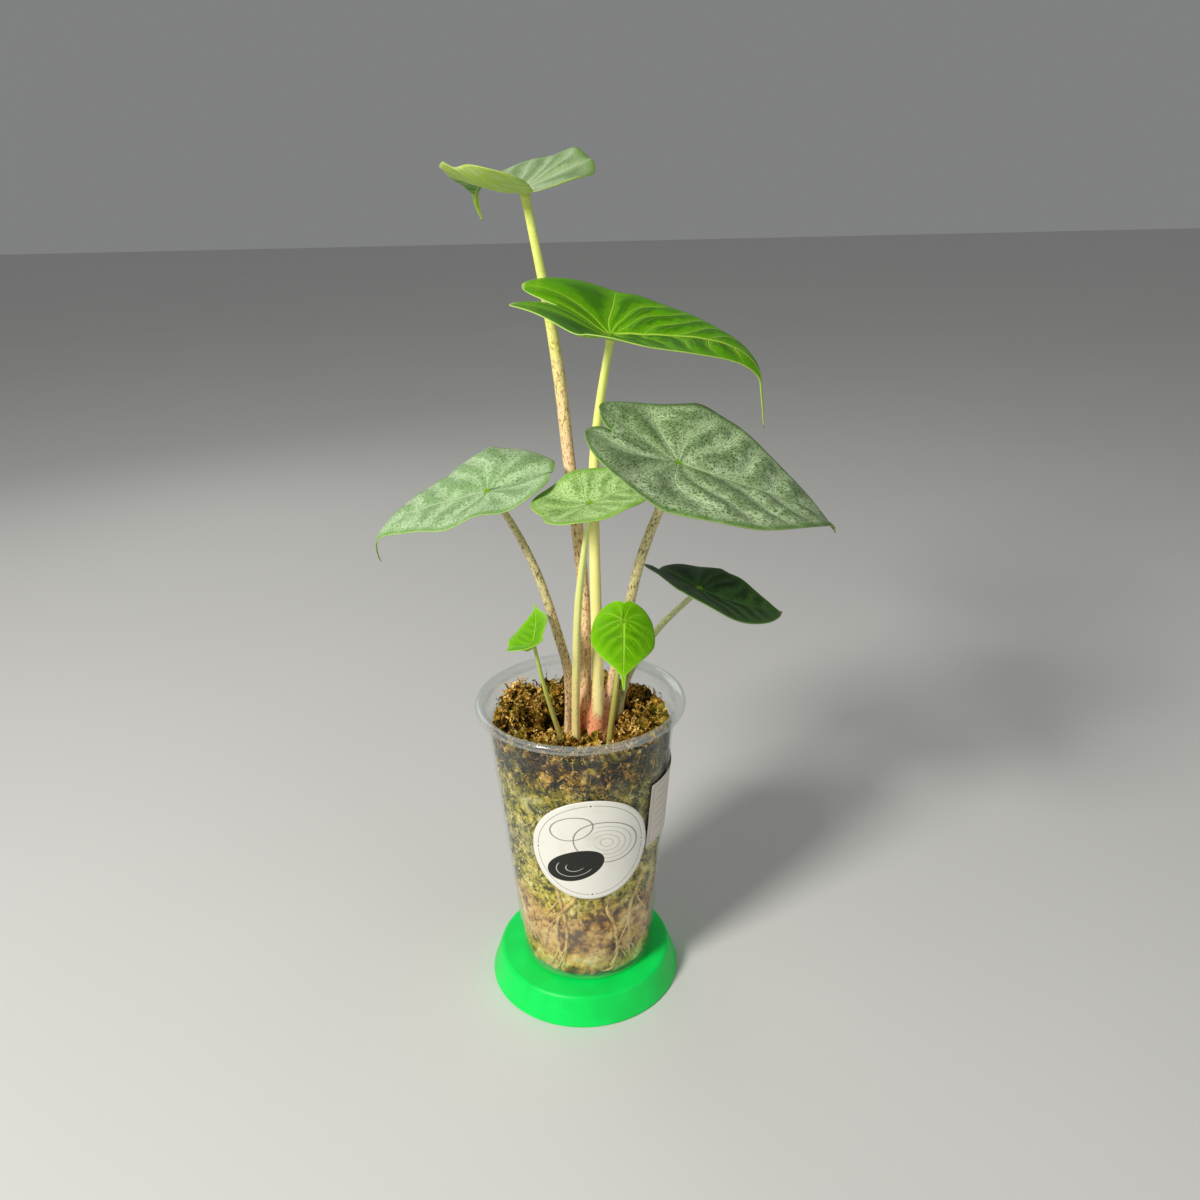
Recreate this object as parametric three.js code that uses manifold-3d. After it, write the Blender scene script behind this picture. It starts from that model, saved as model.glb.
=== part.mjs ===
// A potted alocasia: eight shield-shaped leaves on long stalks, rooted in moss in a clear cup on a round stand.
// Millimetres, Z up. The origin is on the surface that the stand rests on, under the middle of the stand.

import * as THREE from 'three';
import { mergeVertices } from 'three/addons/utils/BufferGeometryUtils.js';
import Manifold from 'manifold-3d';

const solids = await Manifold();
solids.setup();

// The hairline that is left between two pieces that touch
const clearance = 0.3;

// Round stand: a plain disc with a sloping side
const stand = { height: 14.6, topRadius: 42.5, footRadius: 47.2, edge: 1.2, facets: 40 };

// Clear drinking cup. The ledge is the step that keeps stacked cups apart.
const cup = {
  x: 1.5,
  y: 0.5,
  height: 139,
  footRadius: 32.5,
  shoulderRadius: 43.6,
  rimRadius: 49,
  rimHeight: 4.4,
  ledgeDepth: 9,
  ledgeStep: 1.5,
  wall: 0.9,
  facets: 36,
};
const cupFloor = stand.height + clearance;
const cupRim = cupFloor + cup.height;

// Moss that fills the cup, lowest round the plant and higher at the wall, with tufts and small lumps on top. The
// last tuft is a hollow in front of the crown.
const moss = {
  middleHeight: 133.5,
  wallHeight: 142,
  sideRelief: 1.1,
  tufts: [
    { x: -28, y: -6.5, height: 15, width: 3.4 },
    { x: -31, y: -3, height: 3, width: 7 },
    { x: 23, y: -20, height: 5, width: 5 },
    { x: -16, y: -21, height: 3, width: 6 },
    { x: -9, y: 28, height: 4, width: 7 },
    { x: 24, y: 20, height: 6, width: 6 },
    { x: 8, y: -14, height: -5, width: 9 },
  ],
  lumps: 44,
  lumpHeight: 1.5,
};

// Crown: the short thick stem base, half sunk in the moss, that the three oldest stalks rise from
const crown = {
  x: 8.4,
  y: 0.6,
  bottom: 112,
  top: 146,
  footRadius: 5.6,
  topRadiusX: 8.9,
  topRadiusY: 6.4,
};

// Roots that run out from under the crown and down the inside of the cup. Turn is in degrees seen from above,
// with -90 at the front, and drift is how far a root wanders round the wall on its way down.
const root = { radius: 0.9, depth: 1.9, sides: 6, steps: 9, knotRadius: 4, lowest: 21 };
const roots = [
  { turn: -118, reach: 84, drift: 11 },
  { turn: -100, reach: 66, drift: -16 },
  { turn: -72, reach: 58, drift: 9 },
  { turn: -40, reach: 74, drift: -12 },
  { turn: 25, reach: 70, drift: 14 },
  { turn: 95, reach: 80, drift: -13 },
  { turn: 165, reach: 64, drift: 12 },
];

// Labels on the outside of the cup. The round one faces the front, the oblong one is on the right.
const labelThickness = 0.4;
const roundLabel = { turn: -84.5, height: 95.5, radius: 28 };
const sideLabel = { turn: -11, height: 104.5, length: 44, width: 34 };

// Leaves. Lengths are in mm and angles in degrees. A blade is laid out flat from where its stalk meets it: the
// midrib runs `length` forward and ends in a `drip` tip, broader as `dripWidth` grows, and two lobes run `lobe`
// back on either side of a notch that stops `sinus` behind the stalk. `splay` is how far the lobe ends stand
// apart, as a share of the half width. The flat blade is then shaped: `droop` bends the midrib down, the more
// so near the tip as `droopPower` grows, `sweep` bends it to the left, `dripDroop` and `dripSweep` go on
// bending the drip tip and `lobeDroop` bends the back down. Each half has folds up from the midrib at the lobe,
// the stalk and the tip, a `curl` that goes on folding it towards its edge, and a `lobeSag`. The edges go up
// and down in `waves`, given as a height and a number of waves from the stalk to the tip. Last the blade is
// turned by heading (0 is to the right, -90 to the front), pitch and roll.
const bladeThickness = 0.7;
const leaves = [
  {
    name: 'top',
    colour: '#a5bd5f',
    at: [-16.1, 33, 372.3],
    heading: 110.5, pitch: 6, roll: -3,
    length: 59, drip: 16, dripWidth: 3.2, lobe: 31, sinus: 6, splay: 0.42,
    droop: 48, droopPower: 5, dripDroop: 14, sweep: 16, dripSweep: -70, lobeDroop: -36,
    left: { width: 35, folds: [2, -5, -4], curl: 50, lobeSag: 0 },
    right: { width: 30, folds: [12, 30, 20], curl: -6, lobeSag: 3 },
    waves: [0.9, 2.2],
    rows: [3, 9, 6], columns: 4,
    stalk: [[3.4, 1, 146.3], [4.5, 8, 189], [2, 16, 231], [-1.1, 21, 265], [-4, 26, 297], [-8.8, 30, 330]],
    stalkRadii: [2.7, 2.7, 2.75, 2.75, 2.75, 2.1, 1.75],
  },
  {
    name: 'bright',
    colour: '#5fae1c',
    at: [18.2, -6, 318.3],
    heading: -15.8, pitch: -0.3, roll: -1.3,
    length: 67.8, drip: 17.9, dripWidth: 2, lobe: 19.2, sinus: 14.4, splay: 0.42,
    droop: 82.5, droopPower: 4.3, dripDroop: 3.3, sweep: -4.8, dripSweep: -4.3, lobeDroop: 46,
    left: { width: 34.7, folds: [26.3, 27.7, -5], curl: -11.2, lobeSag: -27.5 },
    right: { width: 35.2, folds: [-10, -2, -20.3], curl: 19.2, lobeSag: -28.1 },
    waves: [0.25, 2.6],
    rows: [3, 9, 6], columns: 4,
    stalk: [[9.6, -1.8, 146.3], [9.8, -2, 176.5], [9.8, 0, 236], [10.6, 2, 265.6], [13.2, 2, 288]],
    stalkRadii: [2.7, 2.7, 2.35, 2.25, 1.95, 1.5],
  },
  {
    name: 'large',
    colour: '#6d8a68',
    at: [43, -40, 274.1],
    heading: -6.5, pitch: -20.6, roll: 3.9,
    length: 77.4, drip: 2.6, dripWidth: 3, lobe: 37.6, sinus: 28.2, splay: 0.24,
    droop: 33.3, droopPower: 3.1, dripDroop: 11.2, sweep: 33.8, dripSweep: 11, lobeDroop: -14.6,
    left: { width: 42, folds: [-3.8, 16.2, 14.6], curl: 4.2, lobeSag: -4.1 },
    right: { width: 42.2, folds: [0.5, -7.1, 6.4], curl: 3.5, lobeSag: 1.2 },
    waves: [0.45, 2.4],
    rows: [2, 10, 5], columns: 4,
    stalk: [[13, 3.2, 146.3], [20.2, -4, 179.6], [24.8, -12, 206], [30, -22.5, 232]],
    stalkRadii: [2.35, 2.3, 2.2, 2.1, 1.6],
  },
  {
    name: 'middle',
    colour: '#76955f',
    at: [8.5, -31, 255.8],
    heading: 21, pitch: 15, roll: 5,
    length: 37, drip: 4, dripWidth: 0.9, lobe: 22, sinus: 19, splay: 0.36,
    droop: 14, droopPower: 2, dripDroop: 10, sweep: 0, dripSweep: 0, lobeDroop: -5,
    left: { width: 22, folds: [-1, 14, 14], curl: 2, lobeSag: -3 },
    right: { width: 21.5, folds: [10, 7, -2], curl: 2, lobeSag: -2 },
    waves: [0.5, 1.8],
    rows: [2, 7, 4], columns: 3,
    stalk: [[-1.2, -4.8, 124], [-0.6, -6, 154], [0.2, -9, 173], [2.3, -17, 207], [4.9, -23, 229]],
    stalkRadii: [1.95, 1.9, 1.8, 1.7, 1.4, 0.9],
  },
  {
    name: 'left',
    colour: '#7a9a70',
    at: [-35.1, -4, 253.9],
    heading: 176, pitch: -14, roll: -16,
    length: 60, drip: 9, dripWidth: 2.6, lobe: 29, sinus: 23, splay: 0.33,
    droop: 67, droopPower: 4.3, dripDroop: 32, sweep: 1, dripSweep: 0, lobeDroop: 3,
    left: { width: 26, folds: [3, 8, -6], curl: 3, lobeSag: -5 },
    right: { width: 38, folds: [6, 28, -14], curl: -50, lobeSag: 1.5 },
    waves: [0.9, 2.2],
    rows: [3, 8, 5], columns: 4,
    stalk: [[-4.6, 0.6, 124], [-3.9, 0, 166], [-7.8, -1, 186], [-16, -3, 217], [-27, -4, 242]],
    stalkRadii: [2.2, 2.2, 2.2, 1.85, 1.5, 1.3],
  },
  {
    name: 'right',
    colour: '#3d5a3a',
    at: [56.7, 10, 201.8],
    heading: -27.2, pitch: -16.8, roll: 0.4,
    length: 42.5, drip: 1.6, dripWidth: 3.4, lobe: 23, sinus: 17.9, splay: 0.41,
    droop: 13, droopPower: 2.1, dripDroop: 5.2, sweep: 53.9, dripSweep: 21.4, lobeDroop: 11.7,
    left: { width: 19.8, folds: [5.2, 18.6, 28.8], curl: -19, lobeSag: 0.9 },
    right: { width: 27, folds: [23.8, 19.9, -5.4], curl: 0.4, lobeSag: -3.2 },
    waves: [0.6, 2],
    rows: [1, 8, 4], columns: 3,
    stalk: [[18.4, 7.5, 122], [19.4, 7.5, 140], [23.4, 7.5, 158], [37, 9, 181.5]],
    stalkRadii: [1.9, 1.9, 1.75, 1.6, 1.1],
  },
  {
    name: 'young',
    colour: '#63b01f',
    at: [21.5, -26, 202.4],
    heading: -92, pitch: -33, roll: -1,
    length: 28, drip: 8, dripWidth: 2.2, lobe: 10, sinus: 8, splay: 0.27,
    droop: -9, droopPower: 2, dripDroop: -1, sweep: -1, dripSweep: 4, lobeDroop: 9,
    left: { width: 14.5, folds: [-17, -13, -2], curl: -30, lobeSag: -1.5 },
    right: { width: 14.7, folds: [-16, -9, -3], curl: -26, lobeSag: -2 },
    waves: [0.4, 1.5],
    rows: [3, 7, 3], columns: 3,
    stalk: [[14.4, -8, 122], [15, -9, 138], [16.8, -12, 155], [19.6, -17, 180]],
    stalkRadii: [1.5, 1.45, 1.25, 1, 0.8],
  },
  {
    name: 'small',
    colour: '#5ba61e',
    at: [-18.1, -16, 188.2],
    heading: 76, pitch: 34, roll: -26,
    length: 20, drip: 3, dripWidth: 1.5, lobe: 6, sinus: 5, splay: 0.41,
    droop: -4, droopPower: 2, dripDroop: 1, sweep: 22, dripSweep: 4, lobeDroop: 6,
    left: { width: 12, folds: [9, 10, 5], curl: 5, lobeSag: -6 },
    right: { width: 10, folds: [8, 27, -1], curl: 5, lobeSag: -5.5 },
    waves: [0.5, 1.4],
    rows: [1, 6, 3], columns: 3,
    stalk: [[-6.6, -7, 122], [-8.2, -8.3, 137], [-11.4, -11, 152], [-14.6, -14, 168]],
    stalkRadii: [1.3, 1.25, 1.1, 0.95, 0.7],
  },
];

const radians = THREE.MathUtils.degToRad;
const clamp = THREE.MathUtils.clamp;
const lerp = THREE.MathUtils.lerp;

// A closed body: vertices shared, faces turned outward
function closed(geometry) {
  const bare = new THREE.BufferGeometry();
  bare.setAttribute('position', geometry.getAttribute('position'));
  bare.setIndex(geometry.getIndex());
  const body = mergeVertices(bare, 1e-4);
  const position = body.getAttribute('position');
  const index = body.getIndex().array;
  const kept = [];
  const corner = [new THREE.Vector3(), new THREE.Vector3(), new THREE.Vector3()];
  let volume = 0;
  for (let i = 0; i < index.length; i += 3) {
    const [a, b, c] = index.slice(i, i + 3);
    if (a === b || b === c || c === a) continue;
    kept.push(a, b, c);
    [a, b, c].forEach((vertex, k) => corner[k].fromBufferAttribute(position, vertex));
    volume += corner[0].dot(corner[1].clone().cross(corner[2])) / 6;
  }
  body.setIndex(volume < 0 ? kept.reverse() : kept);
  return body;
}

function toManifold(geometry) {
  const body = closed(geometry);
  const mesh = new solids.Mesh({
    numProp: 3,
    vertProperties: new Float32Array(body.getAttribute('position').array),
    triVerts: new Uint32Array(body.getIndex().array),
  });
  mesh.merge();
  return new solids.Manifold(mesh);
}

function fromManifold(solid) {
  const mesh = solid.getMesh();
  const geometry = new THREE.BufferGeometry();
  geometry.setAttribute('position', new THREE.BufferAttribute(new Float32Array(mesh.vertProperties), 3));
  geometry.setIndex(new THREE.BufferAttribute(new Uint32Array(mesh.triVerts), 1));
  return geometry;
}

function fromRows(vertices, triangles) {
  const geometry = new THREE.BufferGeometry();
  const flat = vertices.flatMap((vertex) => vertex.toArray());
  geometry.setAttribute('position', new THREE.Float32BufferAttribute(flat, 3));
  geometry.setIndex(triangles);
  return geometry;
}

function seededRandom(seed) {
  let state = seed;
  return () => {
    state = (state * 16807) % 2147483647;
    return state / 2147483647;
  };
}

// A body of revolution about Z, from a profile of radius and height pairs
function turned(profile, facets) {
  const points = profile.map(([radius, height]) => new THREE.Vector2(radius, height));
  return new THREE.LatheGeometry(points, facets).rotateX(Math.PI / 2);
}

// An open sheet made into a closed one by moving a copy of it each way along its normals and joining the edges
function thicken(sheet, thickness) {
  sheet.computeVertexNormals();
  const position = sheet.getAttribute('position');
  const normal = sheet.getAttribute('normal');
  const index = Array.from(sheet.getIndex().array);
  const count = position.count;
  const vertices = [];
  for (const side of [0.5, -0.5]) {
    for (let i = 0; i < count; i += 1) {
      const shift = new THREE.Vector3().fromBufferAttribute(normal, i).multiplyScalar(side * thickness);
      vertices.push(new THREE.Vector3().fromBufferAttribute(position, i).add(shift));
    }
  }
  const edges = new Set();
  for (let i = 0; i < index.length; i += 3) {
    for (let k = 0; k < 3; k += 1) edges.add(`${index[i + k]},${index[i + ((k + 1) % 3)]}`);
  }
  const triangles = [...index];
  for (let i = 0; i < index.length; i += 3) {
    triangles.push(index[i + 2] + count, index[i + 1] + count, index[i] + count);
  }
  for (const edge of edges) {
    const [a, b] = edge.split(',').map(Number);
    if (edges.has(`${b},${a}`)) continue;
    triangles.push(b, a, a + count, b, a + count, b + count);
  }
  return fromRows(vertices, triangles);
}

// Triangles of a grid of vertex numbers, leaving out those that shrink to a line
function gridTriangles(grid) {
  const triangles = [];
  for (let i = 0; i + 1 < grid.length; i += 1) {
    for (let j = 0; j + 1 < grid[i].length; j += 1) {
      const [a, b, c, d] = [grid[i][j], grid[i + 1][j], grid[i + 1][j + 1], grid[i][j + 1]];
      for (const triangle of [[a, b, c], [a, c, d]]) {
        if (new Set(triangle).size === 3) triangles.push(...triangle);
      }
    }
  }
  return triangles;
}

// Midrib of a leaf: positions and directions at small steps, from the back of the lobes to the drip tip
function midrib(leaf) {
  const step = 0.5;
  const samples = [];
  const forward = (u) => {
    const along = clamp(u / leaf.length, 0, 1);
    const beyond = clamp((u - leaf.length) / leaf.drip, 0, 1);
    const turn = clamp((u - 0.85 * leaf.length) / (leaf.drip + 0.15 * leaf.length), 0, 1);
    const down = radians(leaf.droop * along ** leaf.droopPower + leaf.dripDroop * beyond);
    const aside = radians(leaf.sweep * along + leaf.dripSweep * turn);
    return new THREE.Vector3(
      Math.cos(down) * Math.cos(aside),
      Math.cos(down) * Math.sin(aside),
      -Math.sin(down),
    );
  };
  const backward = (u) => {
    const down = radians(leaf.lobeDroop * clamp(-u / leaf.lobe, 0, 1) ** 1.5);
    return new THREE.Vector3(Math.cos(down), 0, Math.sin(down));
  };
  const place = new THREE.Vector3();
  for (let u = 0; u <= leaf.length + leaf.drip + step; u += step) {
    samples.push({ u, place: place.clone(), direction: forward(u) });
    place.addScaledVector(forward(u + step / 2), step);
  }
  place.set(0, 0, 0);
  for (let u = -step; u >= -leaf.lobe - step; u -= step) {
    place.addScaledVector(backward(u + step / 2), -step);
    samples.unshift({ u, place: place.clone(), direction: backward(u) });
  }
  return (u) => {
    const first = samples[0].u;
    const spot = clamp((u - first) / step, 0, samples.length - 1.001);
    const low = samples[Math.floor(spot)];
    const high = samples[Math.floor(spot) + 1];
    const share = spot - Math.floor(spot);
    return {
      place: low.place.clone().lerp(high.place, share),
      direction: low.direction.clone().lerp(high.direction, share).normalize(),
    };
  };
}

// Distance from the midrib to the outer edge of one half of the flat blade
function outerEdge(leaf, half, u) {
  const lobeEnd = leaf.splay * half.width;
  if (u < 0) {
    const back = clamp(-u / leaf.lobe, 0, 1);
    return lobeEnd + (half.width - lobeEnd) * Math.sqrt(1 - back ** 2.2);
  }
  const along = clamp(u / leaf.length, 0, 1);
  const body = half.width * Math.cos((Math.PI / 2) * along ** 1.05) ** 1.25;
  const drip = leaf.dripWidth * Math.sqrt(clamp(1 - u / (leaf.length + leaf.drip), 0, 1));
  return body + drip * clamp(3 * along, 0, 1);
}

// Distance from the midrib to the edge of the notch between the lobes
function innerEdge(leaf, half, u) {
  if (u >= -leaf.sinus) return 0;
  const back = clamp((-u - leaf.sinus) / (leaf.lobe - leaf.sinus), 0, 1);
  return leaf.splay * half.width * (1 - Math.sqrt(1 - back ** 2));
}

function leafTurn(leaf) {
  const turn = new THREE.Matrix4().makeRotationZ(radians(leaf.heading));
  turn.multiply(new THREE.Matrix4().makeRotationY(radians(-leaf.pitch)));
  return turn.multiply(new THREE.Matrix4().makeRotationX(radians(leaf.roll)));
}

// The spot on the shaped blade that lay at u along the midrib and v out from it on the flat one
function bladeSpot(leaf, rib, side, u, v) {
  const half = side > 0 ? leaf.left : leaf.right;
  const { place, direction } = rib(u);
  const aside = new THREE.Vector3(-direction.y, direction.x, 0).normalize();
  const up = direction.clone().cross(aside);
  const along = clamp(u / leaf.length, 0, 1);
  const back = clamp(-u / leaf.lobe, 0, 1);
  const [lobeFold, stalkFold, tipFold] = half.folds;
  const fold = radians(stalkFold + (tipFold - stalkFold) * along + (lobeFold - stalkFold) * back);
  const curl = (radians(half.curl) * v) / half.width || 1e-6;
  const across = (v * (Math.sin(fold + curl) - Math.sin(fold))) / curl;
  const [waveHeight, waveCount] = leaf.waves;
  const wave = waveHeight * (v / half.width) ** 2 * Math.sin(2 * Math.PI * waveCount * (u / leaf.length) + side);
  const height = (v * (Math.cos(fold) - Math.cos(fold + curl))) / curl - half.lobeSag * back ** 2 + wave;
  place.addScaledVector(aside, side * across).addScaledVector(up, height);
  return place.applyMatrix4(leafTurn(leaf)).add(new THREE.Vector3(...leaf.at));
}

function bladeRows(leaf) {
  const [dripRows, bodyRows, lobeRows] = leaf.rows;
  const rows = [];
  for (let i = 0; i < dripRows; i += 1) rows.push(leaf.length + leaf.drip * (1 - i / dripRows));
  for (let i = 0; i < bodyRows; i += 1) rows.push(leaf.length * Math.cos((Math.PI / 2) * (i / bodyRows)) ** 0.9);
  rows.push(0, -leaf.sinus / 2);
  for (let i = 0; i <= lobeRows; i += 1) {
    rows.push(-leaf.sinus - (leaf.lobe - leaf.sinus) * Math.sin((Math.PI / 2) * (i / lobeRows)));
  }
  return rows;
}

function bladeGeometry(leaf) {
  const rib = midrib(leaf);
  const rows = bladeRows(leaf);
  const vertices = [];
  const triangles = [];
  const ribVertices = rows.map((u) => {
    if (u < -leaf.sinus - 1e-6) return null;
    return vertices.push(bladeSpot(leaf, rib, 1, u, 0)) - 1;
  });
  for (const side of [1, -1]) {
    const half = side > 0 ? leaf.left : leaf.right;
    const grid = rows.map((u, i) => {
      if (i === 0) return new Array(leaf.columns + 1).fill(ribVertices[0]);
      const inner = innerEdge(leaf, half, u);
      const outer = outerEdge(leaf, half, u);
      if (i === rows.length - 1) {
        const end = vertices.push(bladeSpot(leaf, rib, side, u, outer)) - 1;
        return new Array(leaf.columns + 1).fill(end);
      }
      const line = [];
      for (let j = 0; j <= leaf.columns; j += 1) {
        if (j === 0 && ribVertices[i] !== null) {
          line.push(ribVertices[i]);
        } else {
          const v = lerp(inner, outer, j / leaf.columns);
          line.push(vertices.push(bladeSpot(leaf, rib, side, u, v)) - 1);
        }
      }
      return line;
    });
    const halfTriangles = gridTriangles(grid);
    triangles.push(...(side > 0 ? halfTriangles : halfTriangles.reverse()));
  }
  return thicken(fromRows(vertices, triangles), bladeThickness);
}

// A leaf's stalk: a round rod whose radius changes along it. Its foot is cut level, and its head is cut to lie
// against the underside of the blade.
function stalkGeometry(leaf, grow = 0) {
  const blade = new THREE.Vector3(0, 0, 1).applyMatrix4(leafTurn(leaf));
  const headDrop = bladeThickness / 2 + clearance + 0.35;
  const head = new THREE.Vector3(...leaf.at).addScaledVector(blade, -headDrop);
  const points = [...leaf.stalk.map((point) => new THREE.Vector3(...point)), head];
  const path = new THREE.CatmullRomCurve3(points, false, 'centripetal');
  const sides = 8;
  const steps = 2 * points.length;
  const rings = [];
  const vertices = [];
  for (let i = 0; i <= steps; i += 1) {
    const share = i / steps;
    const centre = path.getPoint(share);
    const direction = path.getTangent(share);
    const spot = share * (leaf.stalkRadii.length - 1);
    const low = Math.min(Math.floor(spot), leaf.stalkRadii.length - 2);
    const radius = lerp(leaf.stalkRadii[low], leaf.stalkRadii[low + 1], spot - low) + grow;
    const aside = new THREE.Vector3(1, 0, 0).projectOnPlane(direction).normalize();
    const across = direction.clone().cross(aside);
    const cut = i === 0 ? new THREE.Vector3(0, 0, 1) : i === steps ? blade : direction;
    const ring = [];
    for (let k = 0; k < sides; k += 1) {
      const angle = (2 * Math.PI * k) / sides;
      const offset = aside.clone().multiplyScalar(radius * Math.cos(angle));
      offset.addScaledVector(across, radius * Math.sin(angle));
      offset.addScaledVector(direction, -offset.dot(cut) / direction.dot(cut));
      ring.push(vertices.push(centre.clone().add(offset)) - 1);
    }
    ring.push(ring[0]);
    rings.push(ring);
  }
  const foot = vertices.push(path.getPoint(0)) - 1;
  const top = vertices.push(path.getPoint(1)) - 1;
  rings.unshift(new Array(sides + 1).fill(foot));
  rings.push(new Array(sides + 1).fill(top));
  return fromRows(vertices, gridTriangles(rings));
}

function standGeometry() {
  const { height, topRadius, footRadius, edge, facets } = stand;
  return turned([
    [0, 0],
    [footRadius - 0.6, 0],
    [footRadius, 0.8],
    [topRadius + 0.3, height - edge],
    [topRadius - 0.3, height - 0.4],
    [topRadius - edge, height],
    [0, height],
  ], facets);
}

// Radius of the cup's outer wall below the ledge, at a height above the floor
function cupRadius(z) {
  const ledge = cupRim - cup.ledgeDepth - cup.ledgeStep;
  return lerp(cup.footRadius, cup.shoulderRadius, clamp((z - cupFloor) / (ledge - cupFloor), 0, 1));
}

function cupGeometry() {
  const { height, footRadius, shoulderRadius, rimRadius, rimHeight, ledgeDepth, ledgeStep, wall } = cup;
  const neckRadius = shoulderRadius + 1.6;
  const ledge = height - ledgeDepth;
  const geometry = turned([
    [0, 0],
    [footRadius - 1.6, 0],
    [footRadius - 0.3, 0.8],
    [footRadius, 2.4],
    [shoulderRadius, ledge - ledgeStep],
    [neckRadius - 0.4, ledge],
    [neckRadius, height - rimHeight],
    [rimRadius - 1.4, height - rimHeight],
    [rimRadius - 0.3, height - rimHeight + 0.9],
    [rimRadius, height - rimHeight / 2],
    [rimRadius - 0.6, height - 0.7],
    [rimRadius - 1.9, height],
    [rimRadius - 3.1, height - 0.6],
    [neckRadius - wall, height - 2],
    [neckRadius - wall - 0.4, ledge + 0.2],
    [shoulderRadius - wall, ledge - ledgeStep + 0.2],
    [footRadius - wall, 2.8],
    [footRadius - wall - 1.4, wall],
    [0, wall],
  ], cup.facets);
  return geometry.translate(cup.x, cup.y, cupFloor);
}

// The moss is described from the cup's axis: x and y are distances from it
const random = seededRandom(71);
const lumps = Array.from({ length: moss.lumps }, () => {
  const turn = 2 * Math.PI * random();
  const distance = 41 * Math.sqrt(random());
  return {
    x: distance * Math.cos(turn),
    y: distance * Math.sin(turn),
    height: moss.lumpHeight * (1.6 * random() - 0.6),
    width: 2.5 + 3 * random(),
  };
});

function mossTop(x, y) {
  const distance = Math.hypot(x, y) / 41.5;
  let z = lerp(moss.middleHeight, moss.wallHeight, clamp(distance, 0, 1) ** 2.4);
  for (const tuft of [...moss.tufts, ...lumps]) {
    z += tuft.height * Math.exp(-((x - tuft.x) ** 2 + (y - tuft.y) ** 2) / tuft.width ** 2);
  }
  return z;
}

function mossGeometry() {
  const sideRows = 7;
  const topRings = 7;
  const floor = cupFloor + cup.wall + clearance;
  const vertices = [];
  const grid = [];
  const addRow = (makePoint) => {
    const row = [];
    for (let k = 0; k < cup.facets; k += 1) {
      row.push(vertices.push(makePoint((2 * Math.PI * k) / cup.facets - Math.PI / 2, k)) - 1);
    }
    grid.push([...row, row[0]]);
  };
  const wave = (turn, z) => 0.5 + 0.25 * (Math.sin(5 * turn + z / 7) + Math.sin(9 * turn - z / 4.3));
  const side = (turn, z) => {
    const radius = Math.min(cupRadius(z), cup.shoulderRadius) - cup.wall - 0.4 - moss.sideRelief * wave(turn, z);
    return [radius * Math.cos(turn), radius * Math.sin(turn)];
  };
  const shift = (x, y, z) => new THREE.Vector3(x + cup.x, y + cup.y, z);
  addRow((turn) => shift(26 * Math.cos(turn), 26 * Math.sin(turn), floor));
  for (let i = 0; i <= sideRows; i += 1) {
    addRow((turn) => {
      const edgeHeight = mossTop(...side(turn, moss.wallHeight)) - 1.5;
      const z = lerp(floor + 3, edgeHeight, i / sideRows);
      return shift(...side(turn, z), z);
    });
  }
  for (let i = 0; i < topRings; i += 1) {
    const share = ((topRings - i - 0.35) / topRings) ** 0.85;
    addRow((turn) => {
      const [x, y] = side(turn, moss.wallHeight).map((value) => share * value);
      return shift(x, y, mossTop(x, y));
    });
  }
  const triangles = gridTriangles(grid);
  const bottom = vertices.push(shift(0, 0, floor)) - 1;
  const summit = vertices.push(shift(0, 0, mossTop(0, 0))) - 1;
  for (let k = 0; k < cup.facets; k += 1) {
    triangles.push(bottom, grid[0][k], grid[0][k + 1]);
    triangles.push(summit, grid[grid.length - 1][k + 1], grid[grid.length - 1][k]);
  }
  return fromRows(vertices, triangles);
}

function crownGeometry(grow = 0) {
  const rows = 7;
  const sides = 12;
  const vertices = [];
  const grid = [];
  for (let i = 0; i <= rows; i += 1) {
    const share = i / rows;
    const swell = Math.sin((Math.PI / 2) * share);
    const row = [];
    for (let k = 0; k < sides; k += 1) {
      const turn = (2 * Math.PI * k) / sides;
      const radiusX = lerp(crown.footRadius, crown.topRadiusX, swell) + grow;
      const radiusY = lerp(crown.footRadius, crown.topRadiusY, swell) + grow;
      row.push(vertices.push(new THREE.Vector3(
        crown.x + radiusX * Math.cos(turn),
        crown.y + radiusY * Math.sin(turn),
        lerp(crown.bottom - grow, crown.top, share),
      )) - 1);
    }
    grid.push([...row, row[0]]);
  }
  const foot = vertices.push(new THREE.Vector3(crown.x, crown.y, crown.bottom - grow)) - 1;
  const top = vertices.push(new THREE.Vector3(crown.x, crown.y, crown.top)) - 1;
  grid.unshift(new Array(sides + 1).fill(foot));
  grid.push(new Array(sides + 1).fill(top));
  return fromRows(vertices, gridTriangles(grid));
}

// All the roots as one body, joined in a knot under the crown
function rootSolid(grow = 0) {
  const knotHeight = crown.bottom - clearance - root.knotRadius;
  const knot = new THREE.SphereGeometry(root.knotRadius + grow, 10, 8);
  let bundle = toManifold(knot.translate(crown.x, crown.y, knotHeight));
  for (const { turn, reach, drift } of roots) {
    const wallSpot = (z) => {
      const radius = cupRadius(z) - cup.wall - root.depth;
      const share = (reach - z) / (reach - root.lowest);
      const angle = radians(turn + drift * Math.sin(2.6 * share));
      return new THREE.Vector3(cup.x + radius * Math.cos(angle), cup.y + radius * Math.sin(angle), z);
    };
    const start = new THREE.Vector3(crown.x, crown.y, knotHeight);
    const bend = start.clone().lerp(wallSpot(reach), 0.7);
    bend.z = lerp(knotHeight, reach, 0.35);
    const points = [start, bend];
    for (let i = 0; i <= 4; i += 1) points.push(wallSpot(lerp(reach, root.lowest - grow, i / 4)));
    const section = new THREE.Shape();
    section.absarc(0, 0, root.radius + grow, 0, 2 * Math.PI);
    const rod = new THREE.ExtrudeGeometry(section, {
      extrudePath: new THREE.CatmullRomCurve3(points, false, 'centripetal'),
      steps: root.steps,
      curveSegments: root.sides / 2,
      bevelEnabled: false,
    });
    bundle = bundle.add(toManifold(rod));
  }
  return bundle;
}

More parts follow.
